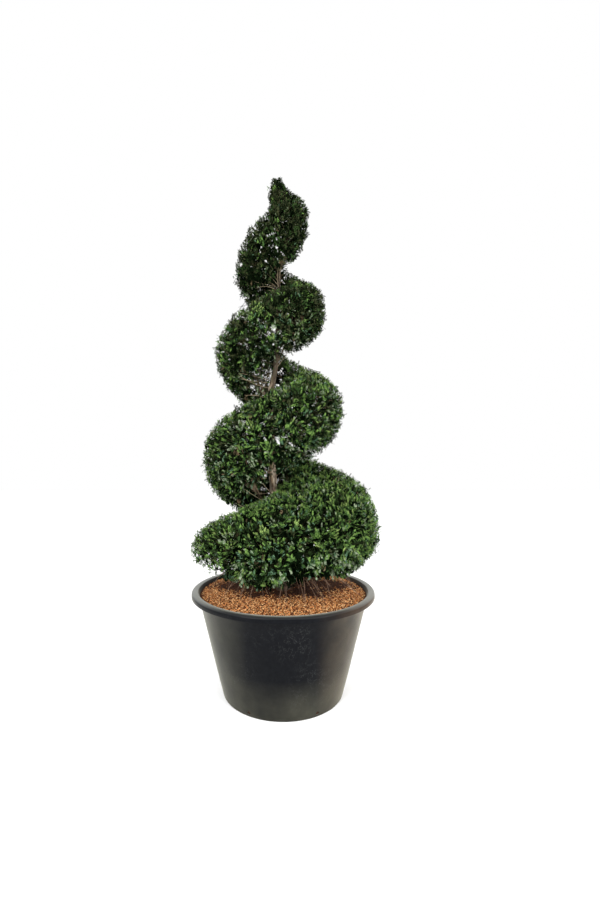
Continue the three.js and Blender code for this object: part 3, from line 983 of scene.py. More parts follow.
NEEDLE_FINISHES: dict[Tint, MottledFinish] = {
    Tint.BRIGHT: MottledFinish("needles_bright", srgb(116, 136, 74), srgb(92, 114, 58), 24, 0.60, 0.10),
    Tint.FRESH: MottledFinish("needles_fresh", srgb(100, 130, 64), srgb(78, 108, 50), 24, 0.65, 0.07),
    Tint.DEEP: MottledFinish("needles_deep", srgb(52, 76, 38), srgb(39, 60, 28), 24, 0.70, 0.04),
    # Near-black painted shade, not the needles' own green.
    Tint.SHADE: MottledFinish("needles_shade", srgb(8, 17, 6), srgb(4, 10, 3), 24, 0.90, 0.01),
    Tint.OLIVE: MottledFinish("needles_olive", srgb(57, 62, 37), srgb(43, 47, 28), 24, 0.60, 0.06),
    Tint.BLUE: MottledFinish("needles_blue", srgb(74, 102, 76), srgb(56, 82, 62), 24, 0.60, 0.08),
    Tint.SAGE: MottledFinish("needles_sage", srgb(122, 134, 108), srgb(96, 108, 86), 24, 0.70, 0.10),
    Tint.DRY: MottledFinish("needles_dry", srgb(100, 86, 64), srgb(72, 62, 46), 24, 0.80, 0.05),
}
# Darker tints for the needles near a spray's root: partly their age, partly painted shade deeper in the
# spray.
AGED_AND_SHADED_TINT: dict[Tint, Tint] = {
    Tint.BRIGHT: Tint.DEEP, Tint.FRESH: Tint.DEEP, Tint.DEEP: Tint.SHADE, Tint.SHADE: Tint.SHADE,
    Tint.OLIVE: Tint.SHADE, Tint.BLUE: Tint.SHADE, Tint.SAGE: Tint.DEEP, Tint.DRY: Tint.SHADE,
}


@dataclass
class Sprays:
    """Sprays of needles: one row of every array for each spray."""

    tips: Array
    growth: Array
    faces: Array
    mass: Array
    tints: Array
    length: Array
    needle: Array
    width: Array

    @classmethod
    def joined(cls, groups: list["Sprays"]) -> "Sprays":
        """All the sprays of several groups as one."""
        names = cls.__dataclass_fields__
        return cls(*(np.concatenate([getattr(group, name) for group in groups]) for name in names))

    @classmethod
    def sized(cls, tips: Array, growth: Array, faces: Array, mass: Array,
              tints: Array, spray: Triple, size: Array) -> "Sprays":
        """Makes sprays of one kind, each with its own size.

        Args:
            tips: Their tips.
            growth: Unit vectors along them.
            faces: Unit vectors out of their flat sides.
            mass: The masses that they belong to.
            tints: Their tints.
            spray: The kind's length, needle length and needle width.
            size: Each one's size, as a share of its kind's.

        Returns:
            The sprays.
        """
        length, needle, width = spray
        widths = np.full(len(tips), width)
        return cls(tips, growth, faces, mass, tints, length * size, needle * size, widths)

    def only(self, chosen: Array) -> "Sprays":
        """The chosen sprays."""
        return Sprays(*(getattr(self, name)[chosen] for name in self.__dataclass_fields__))

    def bases(self) -> Array:
        """Where each spray's needles begin."""
        return self.tips - self.growth * self.length[:, None]

    def crowns(self) -> Array:
        """Where each spray's own twig ends, most of a needle's length short of its tip."""
        return self.tips - self.growth * (0.75 * self.needle)[:, None]

    def kites(self, pairs: int, rng: Rng) -> tuple[Array, Array]:
        """Makes two rows of needles and one at the tip, each a folded kite of four points.

        Args:
            pairs: Pairs of needles on a spray.
            rng: Seeded random numbers.

        Returns:
            The kites' points, and a tint for each: darker near a spray's root, for age and as painted
            shade.
        """
        count = len(self.tips)
        share = np.append(np.repeat((np.arange(pairs) + 0.4) / pairs, 2), 1.0)
        side = np.append(np.tile([1.0, -1.0], pairs), 0.0)
        lean = np.radians(38 - 18 * share)
        size = np.append((0.78 + 0.9 * share * (1 - share))[:-1], 0.75)
        across = unit(np.cross(self.growth, self.faces))
        faces = np.cross(across, self.growth)
        start = self.bases()
        reach = self.crowns() - start
        roots = start[:, None] + reach[:, None] * share[None, :, None]
        aim = self.growth[:, None] * np.cos(lean)[None, :, None]
        aim = aim + across[:, None] * (side * np.sin(lean))[None, :, None]
        aim = aim + faces[:, None] * rng.normal(0.18, 0.26, (count, len(share), 1))
        aim = unit(aim + rng.normal(0, 0.09, (count, len(share), 3)))
        length = self.needle[:, None] * size * rng.uniform(0.85, 1.1, (count, len(share)))
        flank = unit(np.cross(aim, faces[:, None])) * (0.5 * self.width[:, None, None])
        fold = faces[:, None] * (0.22 * self.width[:, None, None])
        belly = roots + aim * (0.42 * length)[..., None] - fold
        points = np.stack([roots, belly + flank, roots + aim * length[..., None], belly - flank], axis=2)
        # Needles near the root take a darker tint: age and painted shade.
        aged_and_shaded_tints = np.array([AGED_AND_SHADED_TINT[tint].value for tint in Tint])
        young = share[None] + rng.normal(0, 0.14, (count, len(share))) > 0.36
        return points, np.where(young, self.tints[:, None], aged_and_shaded_tints[self.tints][:, None])


def kite_mesh(kites: Array) -> tuple[Array, Array]:
    """Joins kites of four points, as two triangles each."""
    first = np.arange(len(kites))[:, None] * 4
    return kites.reshape(-1, 3), np.concatenate([first + [0, 1, 2], first + [0, 2, 3]])


def square_to(growth: Array, faces: Array) -> Array:
    """Unit vectors near the faces' ways that stand square to the growth."""
    return unit(faces - growth * np.sum(faces * growth, axis=1, keepdims=True))


def mass_of(turn: Array) -> Array:
    """Number of the mass of foliage that a turn count lies in."""
    return np.clip(np.searchsorted(COIL.mass_edges(), turn) - 1, 0, len(MASS_NODES) - 1)


class Depth(Enum):
    """Where a layer of sprays stands in a mass."""

    SKIN = "on the clipped outline"
    UNDER_SKIN = "just under the outline"
    INSIDE = "in the shade inside"
    CORE = "deep inside the first turn, which nothing is seen through"
    BENEATH = "on the underside, out to the trunk"


@dataclass(frozen=True)
class Layer:
    """One depth of sprays under the clipped outline."""

    density: float
    inset: Pair
    spray: Triple
    depth: Depth
    places: Pair = (-0.80, 0.96)


@dataclass
class Clumps:
    """Clumps that the sprays gather in, each with its own lean, depth and place in the dealing of tints."""

    centres: Array
    leans: Array
    depths: Array
    picks: Array
    tree: KDTree

    @classmethod
    def around(cls, centres: Array, rng: Rng) -> "Clumps":
        """Makes clumps at their centres.

        Args:
            centres: Places on the outline.
            rng: Seeded random numbers.

        Returns:
            The clumps.
        """
        count = len(centres)
        tree = KDTree(count)
        for number, centre in enumerate(centres):
            tree.insert(centre, number)
        tree.balance()
        leans = rng.normal(0, 0.40, (count, 3)) + [0, 0, -0.06]
        depths = np.clip(rng.normal(0, 0.005, count), -0.007, 0.010)
        return cls(centres, leans, depths, rng.random(count), tree)

    def nearest(self, places: Array) -> tuple[Array, Array]:
        """Number of the nearest clump to each place, and the way from its centre to the place."""
        index = np.array([self.tree.find(place)[1] for place in places])
        return index, places - self.centres[index]


@dataclass(frozen=True)
class Thinning:
    """Shares of the sprays that are kept, by turn count and place round the section."""

    notch: Swell = Swell(0.92, 0.264, 0.042)
    notch_fade: Fade = Fade(3.0, 1.7)
    notch_places: Fade = Fade(-0.32, -0.52)
    start_turns: Fade = Fade(0.10, 0.20)
    start_least: float = 0.14
    start_places: Fade = Fade(0.16, -0.04)
    under_least: float = 0.25
    last_under: Fade = Fade(2.85, 3.05, 0.55)
    skirt_end: float = 0.62
    skirt_cut: float = 0.97
    skirt_inside: float = 0.12
    skin_places: Fade = Fade(-0.86, -0.44)
    skin_low: float = 0.86
    skin_high: Fade = Fade(2.2, 2.6, 0.14)
    skin_upper: Fade = Fade(0.25, 0.45, 0.22)
    end_turns: Fade = Fade(3.80, 3.90)
    end_places: Fade = Fade(0.05, 0.25)
    inside_places: Fade = Fade(-0.62, -0.37)
    inside_by_trunk: Fade = Fade(0.95, 0.65)
    inside_least: float = 0.80
    inside_back: Swell = Swell(0.20, 0.75, 0.20)
    inside_high: Fade = Fade(1.9, 2.6, 0.90)
    inside_before_trunk: Swell = Swell(1.1, 1.26, 0.07)
    core_end: Fade = Fade(1.15, 0.95)
    core_start: Fade = Fade(0.05, 0.25)
    core_most_place: float = 0.75
    patch_share: float = 0.62
    patch_waves: Triple = (41.0, 17.0, 9.0)
    last_patches: Fade = Fade(2.95, 3.15, 1.4)

    def notched(self, turn: Array, place: Array) -> Array:
        """Share kept by the notches that leave the trunk in view, in each coil's lower front."""
        cut = self.notch.at(turn % 1) * (turn > 1) * self.notch_fade.at(turn)
        return 1 - cut * self.notch_places.at(place)

    def thin_start(self, turn: Array, place: Array) -> Array:
        """Share kept by the coil's thin start, where bare twigs show under its outer edge."""
        kept = np.maximum(self.start_turns.at(turn), self.start_least)
        return 1 - (1 - kept) * self.start_places.at(place)

    def under(self, turn: Array) -> Array:
        """Least share kept beneath, larger in the last turn, whose underside hides the trunk."""
        return self.under_least + self.last_under.at(turn)

    def front(self, turn: Array, place: Array, deeper: float = 0.0) -> Array:
        """Share kept in front: less in notches, at the thin start and between the skirt's clumps."""
        gaps = self.skirt_cut * (turn < self.skirt_end) * (1 - Skirt.clumps(turn, place + deeper))
        return (1 - gaps) * self.thin_start(turn, place) * self.notched(turn, place)

    def skin(self, turn: Array, place: Array) -> Array:
        """Finds the share kept on the outline: less beneath, at the coil's thin start and at its end.

        Args:
            turn: Turn count.
            place: Place round the section.

        Returns:
            The share, a little over 1 where the outline is fuller.
        """
        beneath = np.maximum(self.skin_places.at(place), self.under(turn))
        even = self.skin_low + self.skin_high.at(turn)
        upper = 1 + (turn > 1) * self.skin_upper.at(place)
        end = 1 - self.end_turns.at(turn) * self.end_places.at(place)
        return even * upper * end * beneath * self.front(turn, place)

    def inside(self, turn: Array, place: Array) -> Array:
        """Finds the share kept inside, most behind, high up and in front of the trunk.

        Args:
            turn: Turn count.
            place: Place round the section.

        Returns:
            The share, over 1 where the inside is fuller.
        """
        beneath = np.maximum(self.inside_places.at(place), self.under(turn) - self.under_least)
        by_trunk = np.where(turn > 1, self.inside_by_trunk.at(place), 1)
        fill = self.inside_least + self.inside_back.at(turn % 1)
        fill = fill + self.inside_high.at(turn) + self.inside_before_trunk.at(turn)
        return beneath * by_trunk * fill * self.front(turn, place, self.skirt_inside)

    def core(self, turn: Array, place: Array) -> Array:
        """Share of the core's sprays kept: the first turn alone."""
        return self.core_end.at(turn) * self.core_start.at(turn) * (np.abs(place) < self.core_most_place)

    def beneath(self, turn: Array, place: Array) -> Array:
        """Finds the share kept on the underside, in patches that leave gaps for the sky.

        Args:
            turn: Turn count.
            place: Place round the section.

        Returns:
            The share, over 1 in the last turn, which is full.
        """
        fast, slow, round_section = self.patch_waves
        waves = np.sin(turn * fast) * np.sin(turn * slow + place * round_section)
        patches = self.patch_share + (1 - self.patch_share) * waves + self.last_patches.at(turn)
        return patches * self.front(turn, place)

    def of(self, depth: Depth) -> Share:
        """The law of shares for a depth."""
        return {Depth.SKIN: self.skin, Depth.UNDER_SKIN: self.skin, Depth.INSIDE: self.inside,
                Depth.CORE: self.core, Depth.BENEATH: self.beneath}[depth]


@dataclass(frozen=True)
class LimbOrder:
    """One order of limbs: their shape, how many end under each square metre and how deep they end."""

    fork_shares: Pair
    root: float
    tip: float
    sag: float
    density: float = 0.0
    depth: float = 0.0


@dataclass
class Foliage:
    """Needle sprays over the coil and the tuft, on twigs that fork from the boughs."""

    layers: tuple[Layer, ...] = (
        Layer(4550.0, (-0.006, 0.010), (0.033, 0.0102, 0.0036), Depth.SKIN),
        Layer(860.0, (0.018, 0.038), (0.042, 0.0180, 0.0066), Depth.UNDER_SKIN),
        Layer(1100.0, (0.045, 0.085), (0.058, 0.0350, 0.0155), Depth.INSIDE, (-0.90, 0.96)),
        Layer(1000.0, (0.000, 0.060), (0.037, 0.0140, 0.0050), Depth.BENEATH, (-0.98, -0.55)),
        Layer(420.0, (0.120, 0.240), (0.088, 0.0520, 0.0230), Depth.CORE),
    )
    tuft_layer: Layer = Layer(0.0, (0.003, 0.012), (0.028, 0.0092, 0.0036), Depth.SKIN)
    thinning: Thinning = Thinning()
    clump_density: float = 520.0
    clump_places: Pair = (-0.98, 0.96)
    clump_radius: float = 0.024
    clump_dome: float = 0.009
    clump_dome_reach: float = 1.3
    clump_dome_middle: float = 0.5
    clump_fan: float = 12.0
    clump_tint_share: float = 0.62
    patch_scales: Pair = (13.0, 11.0)
    patch_reaches: Pair = (1.6, 1.3)
    patch_shift: float = 40.0
    calm_top: Fade = Fade(0.0, 0.4, 0.5)
    tuft_clumps: int = 60
    tuft_sprays: int = 1350
    tuft_core_depth: float = 0.035
    needle_pairs: int = 4
    inner_pairs: int = 3
    most_kites: int = 95000
    stray: float = 0.0035
    most_strays: float = 5.0
    full_reach: float = 0.30
    slim_least: float = 0.35
    droop_from: float = 0.15
    droop_most: float = 0.8
    trunk_gap: float = 0.012
    out_pull: float = 0.50
    up_pull: float = 0.22
    droop_pull: float = 0.8
    growth_disorder: float = 0.20
    face_out: float = 0.80
    face_up: float = 0.35
    face_disorder: float = 0.35
    spray_sizes: Pair = (0.82, 1.15)
    smaller_high: Fade = Fade(2.4, 3.1, 0.22)
    limbs: LimbOrder = LimbOrder((0.55, 0.98), 0.0050, 0.0028, 0.10, 16.0, 0.42)
    branchlets: LimbOrder = LimbOrder((0.30, 0.95), 0.0028, 0.0016, 0.06, 90.0, 0.22)
    twigs: LimbOrder = LimbOrder((0.25, 0.95), 0.0016, 0.0010, 0.03, 430.0, 0.11)
    stalks: LimbOrder = LimbOrder((0.35, 1.0), 0.0011, 0.0008, 0.02)
    spine_radii: Pair = (0.0009, 0.0005)
    bare_twigs: int = 46
    limb_disorder: float = 0.07
    limb_sizes: Pair = (0.8, 1.2)
    target_places: Pair = (-0.62, 0.9)
    heart_radius: float = 0.45
    heart_height: float = 0.5
    most_pull: float = 0.8
    first_seed: int = 41
    bough_swing: float = 0.3
    bough_root_share: float = 0.30
    bough_tip_share: float = 0.5
    bough_sag: float = 0.12
    bough_above_coil: float = 0.040
    bough_meet_share: float = 0.52
    stem_in_core: float = 0.070
    mulch_crown: float = 0.622
    near_start: float = 0.1
    leader_heights: Triple = (3.02, 3.20, 3.33)
    leader_over_trunk: float = 0.08
    leader_radii: Pair = (0.0062, 0.002)
    rng: Rng = field(default_factory=lambda: np.random.default_rng(7))
    clumps: Clumps = field(init=False)

    def __post_init__(self) -> None:
        """Deals clumps evenly over the coil and the tuft."""
        turn, place = COIL.spread(self.clump_density, self.clump_places, everywhere, self.rng)
        first, share = even_pairs(self.tuft_clumps, self.rng)
        centres = [COIL.skin(turn, place, COIL.trim(turn, place)), TUFT.skin(2 * math.pi * first, share)]
        self.clumps = Clumps.around(np.concatenate(centres), self.rng)

    def deal_tints(self, tips: Array, outward: Array, place: Array, depth: Depth) -> Array:
        """Deals a tint to each spray by its place, in patches, with painted highlights and painted shade.

        Args:
            tips: The sprays' tips.
            outward: Unit vectors out of the outline.
            place: Places round the section.
            depth: Where the sprays stand in their mass.

        Returns:
            Tint numbers.
        """
        scales, reaches = self.patch_scales, self.patch_reaches
        warm = np.array([noise.noise(Vector(tip * scales[0])) for tip in tips]) * reaches[0]
        shifted = tips * scales[1] + self.patch_shift
        vivid = np.array([noise.noise(Vector(spot)) for spot in shifted]) * reaches[1]
        height = tips[:, 2]
        # Sprays that face up get more of the bright tints: a painted highlight on the tops.
        top = np.clip(outward[:, 2], 0, 1)
        # Underneath: more grey-green and dry needles, and some painted shade.
        beneath = ramp(place, -0.25, -1.25)
        # Higher up the tints turn darker: painted shade.
        high = ramp(height, 1.2, 2.8)
        skirt = ramp(height, 1.0, 0.72) * ramp(place, 0.3, -0.7) * ramp(tips[:, 0], -0.42, -0.27)
        # Painted shade on the undersides of the upper coils.
        lower = ramp(place, 0.0, -0.5) * ramp(height, 1.1, 1.3)
        # Painted shade: near-black sprays deep under the first turn.
        hidden = 6 * ramp(place, -0.50, -0.62) * (height < 1.15)
        if depth is Depth.SKIN:
            weights = {
                Tint.BRIGHT: (0.14 + 0.40 * top) * (1 - 0.95 * high) * (1 + warm) * (1 - 0.9 * lower),
                Tint.FRESH: (0.76 + 0.20 * top) * (1 - 0.93 * high) * (1 + vivid) * (1 - 0.6 * lower),
                Tint.DEEP: 0.42 - 0.12 * high,
                Tint.SHADE: 0.07 + 0.20 * beneath + 0.46 * high + 0.40 * lower,
                Tint.OLIVE: (0.12 + 0.84 * high) * (1 + warm),
                Tint.BLUE: (0.26 - 0.16 * top) * (1 - 0.9 * high) * (1 - warm) + 0.20 * skirt,
                Tint.SAGE: (0.20 + 0.9 * beneath) * (1 - 0.88 * high) * (1 - vivid) + 1.1 * skirt,
                Tint.DRY: 0.006 + 0.10 * beneath,
            }
        # Under the outline the tints are darker: painted shade.
        elif depth is Depth.UNDER_SKIN:
            weights = {
                Tint.BRIGHT: 0.02, Tint.FRESH: 0.22 * (1 - 0.6 * high), Tint.DEEP: 0.60,
                Tint.SHADE: 0.50 + 0.5 * high, Tint.OLIVE: 0.10 + 0.1 * high, Tint.BLUE: 0.10,
                Tint.SAGE: 0.05 + 0.2 * beneath, Tint.DRY: 0.02 + 0.1 * beneath,
            }
        elif depth is Depth.BENEATH:
            weights = {
                Tint.FRESH: 0.06 * (1 - 0.7 * high), Tint.DEEP: 0.40,
                Tint.SHADE: 0.90 + 0.4 * high + hidden, Tint.OLIVE: 0.20,
                Tint.BLUE: 0.10 * (1 - 0.8 * high), Tint.SAGE: 0.40 * (1 - 0.85 * high), Tint.DRY: 0.20,
            }
        # Inside and in the core: near-black painted shade.
        else:
            weights = {Tint.DEEP: 0.08, Tint.SHADE: 1.0, Tint.DRY: 0.03}
        rows = [np.broadcast_to(np.maximum(weights.get(tint, 0.0), 0.0), len(tips)) for tint in Tint]
        shares = np.cumsum(np.stack(rows, axis=1), axis=1)
        alone = self.rng.random(len(tips)) > self.clump_tint_share
        pick = np.where(alone, self.rng.random(len(tips)), self.clumps.picks[self.clumps.nearest(tips)[0]])
        return (shares < (pick * shares[:, -1])[:, None]).sum(axis=1)

    def stand(self, tips: Array, outward: Array, droop: Array, layer: Layer, tints: Array,
              mass: Array) -> Sprays:
        """Stands sprays at their tips, fanned out in clumps that each lean their own way.

        Args:
            tips: The sprays' tips.
            outward: Unit vectors out of the outline.
            droop: How far each spray hangs rather than rises, from 0 to 1.
            layer: Their sizes.
            tints: Their tints.
            mass: The masses that they belong to.

        Returns:
            The sprays.
        """
        count = len(tips)
        clump, way = self.clumps.nearest(tips)
        rise = self.up_pull - self.droop_pull * droop
        growth = outward * self.out_pull + np.array([0, 0, 1.0]) * rise[:, None]
        growth = growth + self.rng.normal(0, self.growth_disorder, (count, 3))
        growth = unit(growth + self.clumps.leans[clump] + way * self.clump_fan)
        faces = outward * self.face_out + np.array([0, 0, self.face_up])
        faces = square_to(growth, faces + self.rng.normal(0, self.face_disorder, (count, 3)))
        size = self.rng.uniform(*self.spray_sizes, count) * (1 - self.smaller_high.at(tips[:, 2]))
        return Sprays.sized(tips, growth, faces, mass, tints, layer.spray, size)

    def coil_sprays(self, layer: Layer) -> Sprays:
        """Makes the sprays of one layer over the whole coil.

        Args:
            layer: Their depth, density and sizes.

        Returns:
            The sprays, without those that would stand in the trunk.
        """
        turn, place = COIL.spread(layer.density, layer.places, self.thinning.of(layer.depth), self.rng)
        slim = np.clip(COIL.reach(turn) / self.full_reach, self.slim_least, 1)
        inset = self.rng.uniform(*layer.inset, len(turn)) * slim + COIL.trim(turn, place)
        if layer.depth is Depth.SKIN:
            strays = self.rng.exponential(self.stray, len(turn))
            inset -= np.minimum(strays, self.most_strays * self.stray) * slim
        clump, way = self.clumps.nearest(COIL.skin(turn, place, COIL.trim(turn, place)))
        off_centre = np.minimum(np.linalg.norm(way, axis=1) / self.clump_radius, self.clump_dome_reach)
        dome = self.clump_dome * (off_centre ** 2 - self.clump_dome_middle)
        inset += (self.clumps.depths[clump] + dome) * slim * (1 - self.calm_top.at(place))
        tips = COIL.skin(turn, place, inset)
        outward = COIL.outward(turn, place)
        tints = self.deal_tints(tips, outward, place, layer.depth)
        droop = np.clip(-place - self.droop_from, 0, self.droop_most)
        sprays = self.stand(tips, outward, droop, layer, tints, mass_of(turn))
        away = np.linalg.norm(tips - TRUNK_LINE.point(tips[:, 2]), axis=1)
        return sprays.only(away > TRUNK_LINE.radius(tips[:, 2]) + self.trunk_gap)

    def tuft_spray_layer(self) -> Sprays:
        """Makes the sprays round the tuft at the tip.

        Returns:
            The sprays.
        """
        first, share = even_pairs(self.tuft_sprays, self.rng)
        tips = TUFT.skin(2 * math.pi * first, share, self.rng.uniform(*self.tuft_layer.inset, len(share)))
        core = tips.copy()
        core[:, :2] = TUFT.centre
        core[:, 2] -= self.tuft_core_depth
        outward = unit(tips - core)
        level = np.zeros(len(share))
        tints = self.deal_tints(tips, outward, level, Depth.SKIN)
        mass = np.full(len(share), len(MASS_NODES) - 1)
        return self.stand(tips, outward, level, self.tuft_layer, tints, mass)

    def boughs(self) -> Limbs:
        """Grows the boughs, each going on as the stem of its mass, and the last mass's leader.

        Returns:
            One limb for each mass, from the lowest up.
        """
        edges = COIL.mass_edges()
        rows = []
        for number, (low, high) in enumerate(zip(edges[:-2], edges[1:-1])):
            swing = (first_draw(self.first_seed + number) - 0.5) * self.bough_swing * (high - low)
            turn = (low + high) / 2 + swing
            over_coil = turn - 1 > COIL.start - self.near_start
            below = COIL.top(max(turn - 1, COIL.start)) if over_coil else self.mulch_crown
            into = COIL.placed(turn, *COIL.hollow(turn, self.bough_meet_share))
            height = min(below, into[2] - 2 * self.bough_above_coil) + self.bough_above_coil
            start = TRUNK_LINE.point(height)
            bend = (start + into) / 2
            bend[2] -= (into[2] - start[2]) * self.bough_sag
            end = into + unit(into - bend) * self.stem_in_core
            root = TRUNK_LINE.radius(height) * self.bough_root_share
            rows.append((start, bend, end, root, root * self.bough_tip_share, number))
        leader = TRUNK_LINE.point(self.leader_heights)
        leader[-1, 2] += self.leader_over_trunk
        rows.append((*leader, *self.leader_radii, len(MASS_NODES) - 1))
        starts, bends, ends, roots, tips, mass = (np.array(column) for column in zip(*rows))
        return Limbs(starts, bends, ends, roots, tips, mass)

    def fork(self, parents: Limbs, targets: Array, mass: Array, order: LimbOrder) -> Limbs:
        """Grows a limb from the nearest parent in its own mass to each target.

        Args:
            parents: Limbs to fork from.
            targets: Where the new limbs end.
            mass: The masses that the targets lie in.
            order: The new limbs' order.

        Returns:
            The new limbs.
        """
        count = len(targets)
        parent = np.zeros(count, int)
        share = self.rng.uniform(*order.fork_shares, count)
        for number in range(len(MASS_NODES)):
            own = np.flatnonzero(parents.mass == number)
            mine = np.flatnonzero(mass == number)
            if len(mine) == 0:
                continue
            middles = parents.at(own, np.full(len(own), sum(order.fork_shares) / 2))
            gaps = np.linalg.norm(targets[mine, None] - middles[None], axis=2)
            parent[mine] = own[gaps.argmin(axis=1)]
        starts = parents.at(parent, share)
        length = np.linalg.norm(targets - starts, axis=1, keepdims=True)
        bends = (starts + targets) / 2 + self.rng.normal(0, self.limb_disorder, (count, 3)) * length
        bends[:, 2] -= order.sag * length[:, 0]
        thick = self.rng.uniform(*self.limb_sizes, count)
        return Limbs(starts, bends, targets, order.root * thick, order.tip * thick, mass)

    def targets(self, order: LimbOrder) -> tuple[Array, Array]:
        """Finds places for limbs to end at, a share of the reach under the outline.

        Args:
            order: The limbs' order.

        Returns:
            The places, and the masses that they lie in.
        """
        turn, place = COIL.spread(order.density, self.target_places, everywhere, self.rng)
        depth = order.depth * self.rng.uniform(*self.limb_sizes, len(turn))
        inset = COIL.reach(turn) * depth + COIL.trim(turn, place)
        radius, height = COIL.section(turn, place, 0.0)
        heart_radius = self.heart_radius * COIL.reach(turn)
        heart_height = COIL.low(turn) + self.heart_height * (COIL.top(turn) - COIL.low(turn))
        pull = np.clip(inset / np.hypot(radius - heart_radius, height - heart_height), 0, self.most_pull)
        radius = radius + (heart_radius - radius) * pull
        height = height + (heart_height - height) * pull
        return COIL.placed(turn, radius, height), mass_of(turn)

    def bare(self) -> Limbs:
        """Grows pale bare branches, from the trunk to the coil's underside.

        Returns:
            The branches.
        """
        count = self.bare_twigs
        turn = self.rng.uniform(0.85, 3.65, count)
        ends = COIL.skin(turn, self.rng.uniform(-0.85, -0.45, count), 0.02)
        starts = TRUNK_LINE.point(ends[:, 2] - self.rng.uniform(-0.02, 0.14, count))
        bends = (starts + ends) / 2 + self.rng.normal(0, 0.018, (count, 3))
        thick = self.rng.uniform(0.7, 1.3, count)
        slim = np.clip(COIL.reach(turn) / 0.45, 0.5, 1)
        return Limbs(starts, bends, ends, 0.0030 * thick * slim, 0.0012 * thick * slim, mass_of(turn))

    def build(self) -> None:
        """Builds the limbs, twigs and needles, and puts them in place of the part's masses and boughs."""
        boughs = self.boughs()
        limbs = self.fork(boughs, *self.targets(self.limbs), self.limbs)
        thick = Limbs.joined([boughs, limbs])
        branchlets = self.fork(thick, *self.targets(self.branchlets), self.branchlets)
        twigs = self.fork(branchlets, *self.targets(self.twigs), self.twigs)
        skirt = Skirt(self.rng)
        skin = [self.coil_sprays(layer) for layer in self.layers if layer.depth is Depth.SKIN]
        shaded = [self.coil_sprays(layer) for layer in self.layers if layer.depth is not Depth.SKIN]
        outer = Sprays.joined([*skin, self.tuft_spray_layer(), skirt.sprays()])
        inner = Sprays.joined([*shaded, skirt.curtain()])
        LOG.info("%d outer and %d inner sprays", len(outer.tips), len(inner.tips))
        every = Sprays.joined([outer, inner])
        stalks = self.fork(twigs, every.bases(), every.mass, self.stalks)
        self.wood(thick, self.bare(), skirt.twigs(), Limbs.joined([branchlets, twigs]))
        self.spray_stalks(stalks, outer)
        self.needles(outer, inner)

    def wood(self, thick: Limbs, bare: Limbs, hanging: Limbs, fine: Limbs) -> None:
        """Joins the woody limbs into pieces by kind.

        Args:
            thick: Boughs and limbs.
            bare: Pale bare branches.
            hanging: Brown bare twigs under the skirt.
            fine: Leafy branchlets and twigs.
        """
        bark = BarkFinish("bough_bark", srgb(164, 146, 118), srgb(128, 104, 80), srgb(72, 58, 46), 90, 0.25,
                          0.001, grey_and_shade_share=0.85)
        piece = mesh_piece("boughs", *thick.tubes(10, 8), smooth=True)
        roughen(piece, 0.10, 0.0012)
        place_piece(piece, bark.material(), BOUGH_NODES)
        pale_bark = MottledFinish("pale_twig_bark", srgb(158, 146, 120), srgb(116, 104, 82), 40, 0.8, 0.12)
        brown_bark = MottledFinish("brown_twig_bark", srgb(128, 104, 86), srgb(82, 62, 50), 40, 0.8, 0.10)
        twig_bark = MottledFinish("twig_bark", srgb(80, 74, 52), srgb(52, 46, 32), 40, 0.8, 0.08)
        for name, limbs, rings, sides, finish in (("bare_twigs", bare, 6, 5, pale_bark),
                                                  ("skirt_twigs", hanging, 6, 5, brown_bark),
                                                  ("twigs", fine, 3, 3, twig_bark)):
            piece = mesh_piece(name, *limbs.tubes(rings, sides), smooth=True)
            place_piece(piece, finish.material(), [])

    def spray_stalks(self, stalks: Limbs, sprays: Sprays) -> None:
        """Makes the thin stalks of the sprays, from their twigs to the needles and on between these.

        Args:
            stalks: The stalks up to the needles.
            sprays: The sprays whose needles are seen, so that their stalks go on between these.
        """
        count = len(sprays.tips)
        bases, crowns = sprays.bases(), sprays.crowns()
        root, tip = (np.full(count, radius) for radius in self.spine_radii)
        spines = Limbs(bases, (bases + crowns) / 2, crowns, root, tip, sprays.mass)
        material = MottledFinish("stalk_bark", srgb(48, 62, 32), srgb(36, 44, 24), 40, 0.7, 0.08).material()
        for name, limbs in (("stalks", stalks), ("spines", spines)):
            place_piece(mesh_piece(name, *limbs.tubes(1, 3), smooth=True), material, [])

    def needles(self, outer: Sprays, inner: Sprays) -> None:
        """Joins the needles by tint, in pieces that stay small enough.

        Args:
            outer: Sprays of the clipped outside, the tuft and the skirt.
            inner: Larger and darker sprays in their shade.
        """
        groups = [outer.kites(self.needle_pairs, self.rng), inner.kites(self.inner_pairs, self.rng)]
        kites = np.concatenate([points.reshape(-1, 4, 3) for points, _ in groups])
        tints = np.concatenate([own.ravel() for _, own in groups])
        for tint, finish in NEEDLE_FINISHES.items():
            material = finish.material()
            chosen = kites[tints == tint.value]
            parts = np.array_split(chosen, 1 + len(chosen) // self.most_kites)
            for number, part in enumerate(parts, start=1):
                name = finish.name if len(parts) == 1 else f"{finish.name}_{number}"
                piece = mesh_piece(name, *kite_mesh(part), smooth=False)
                place_piece(piece, material, MASS_NODES)


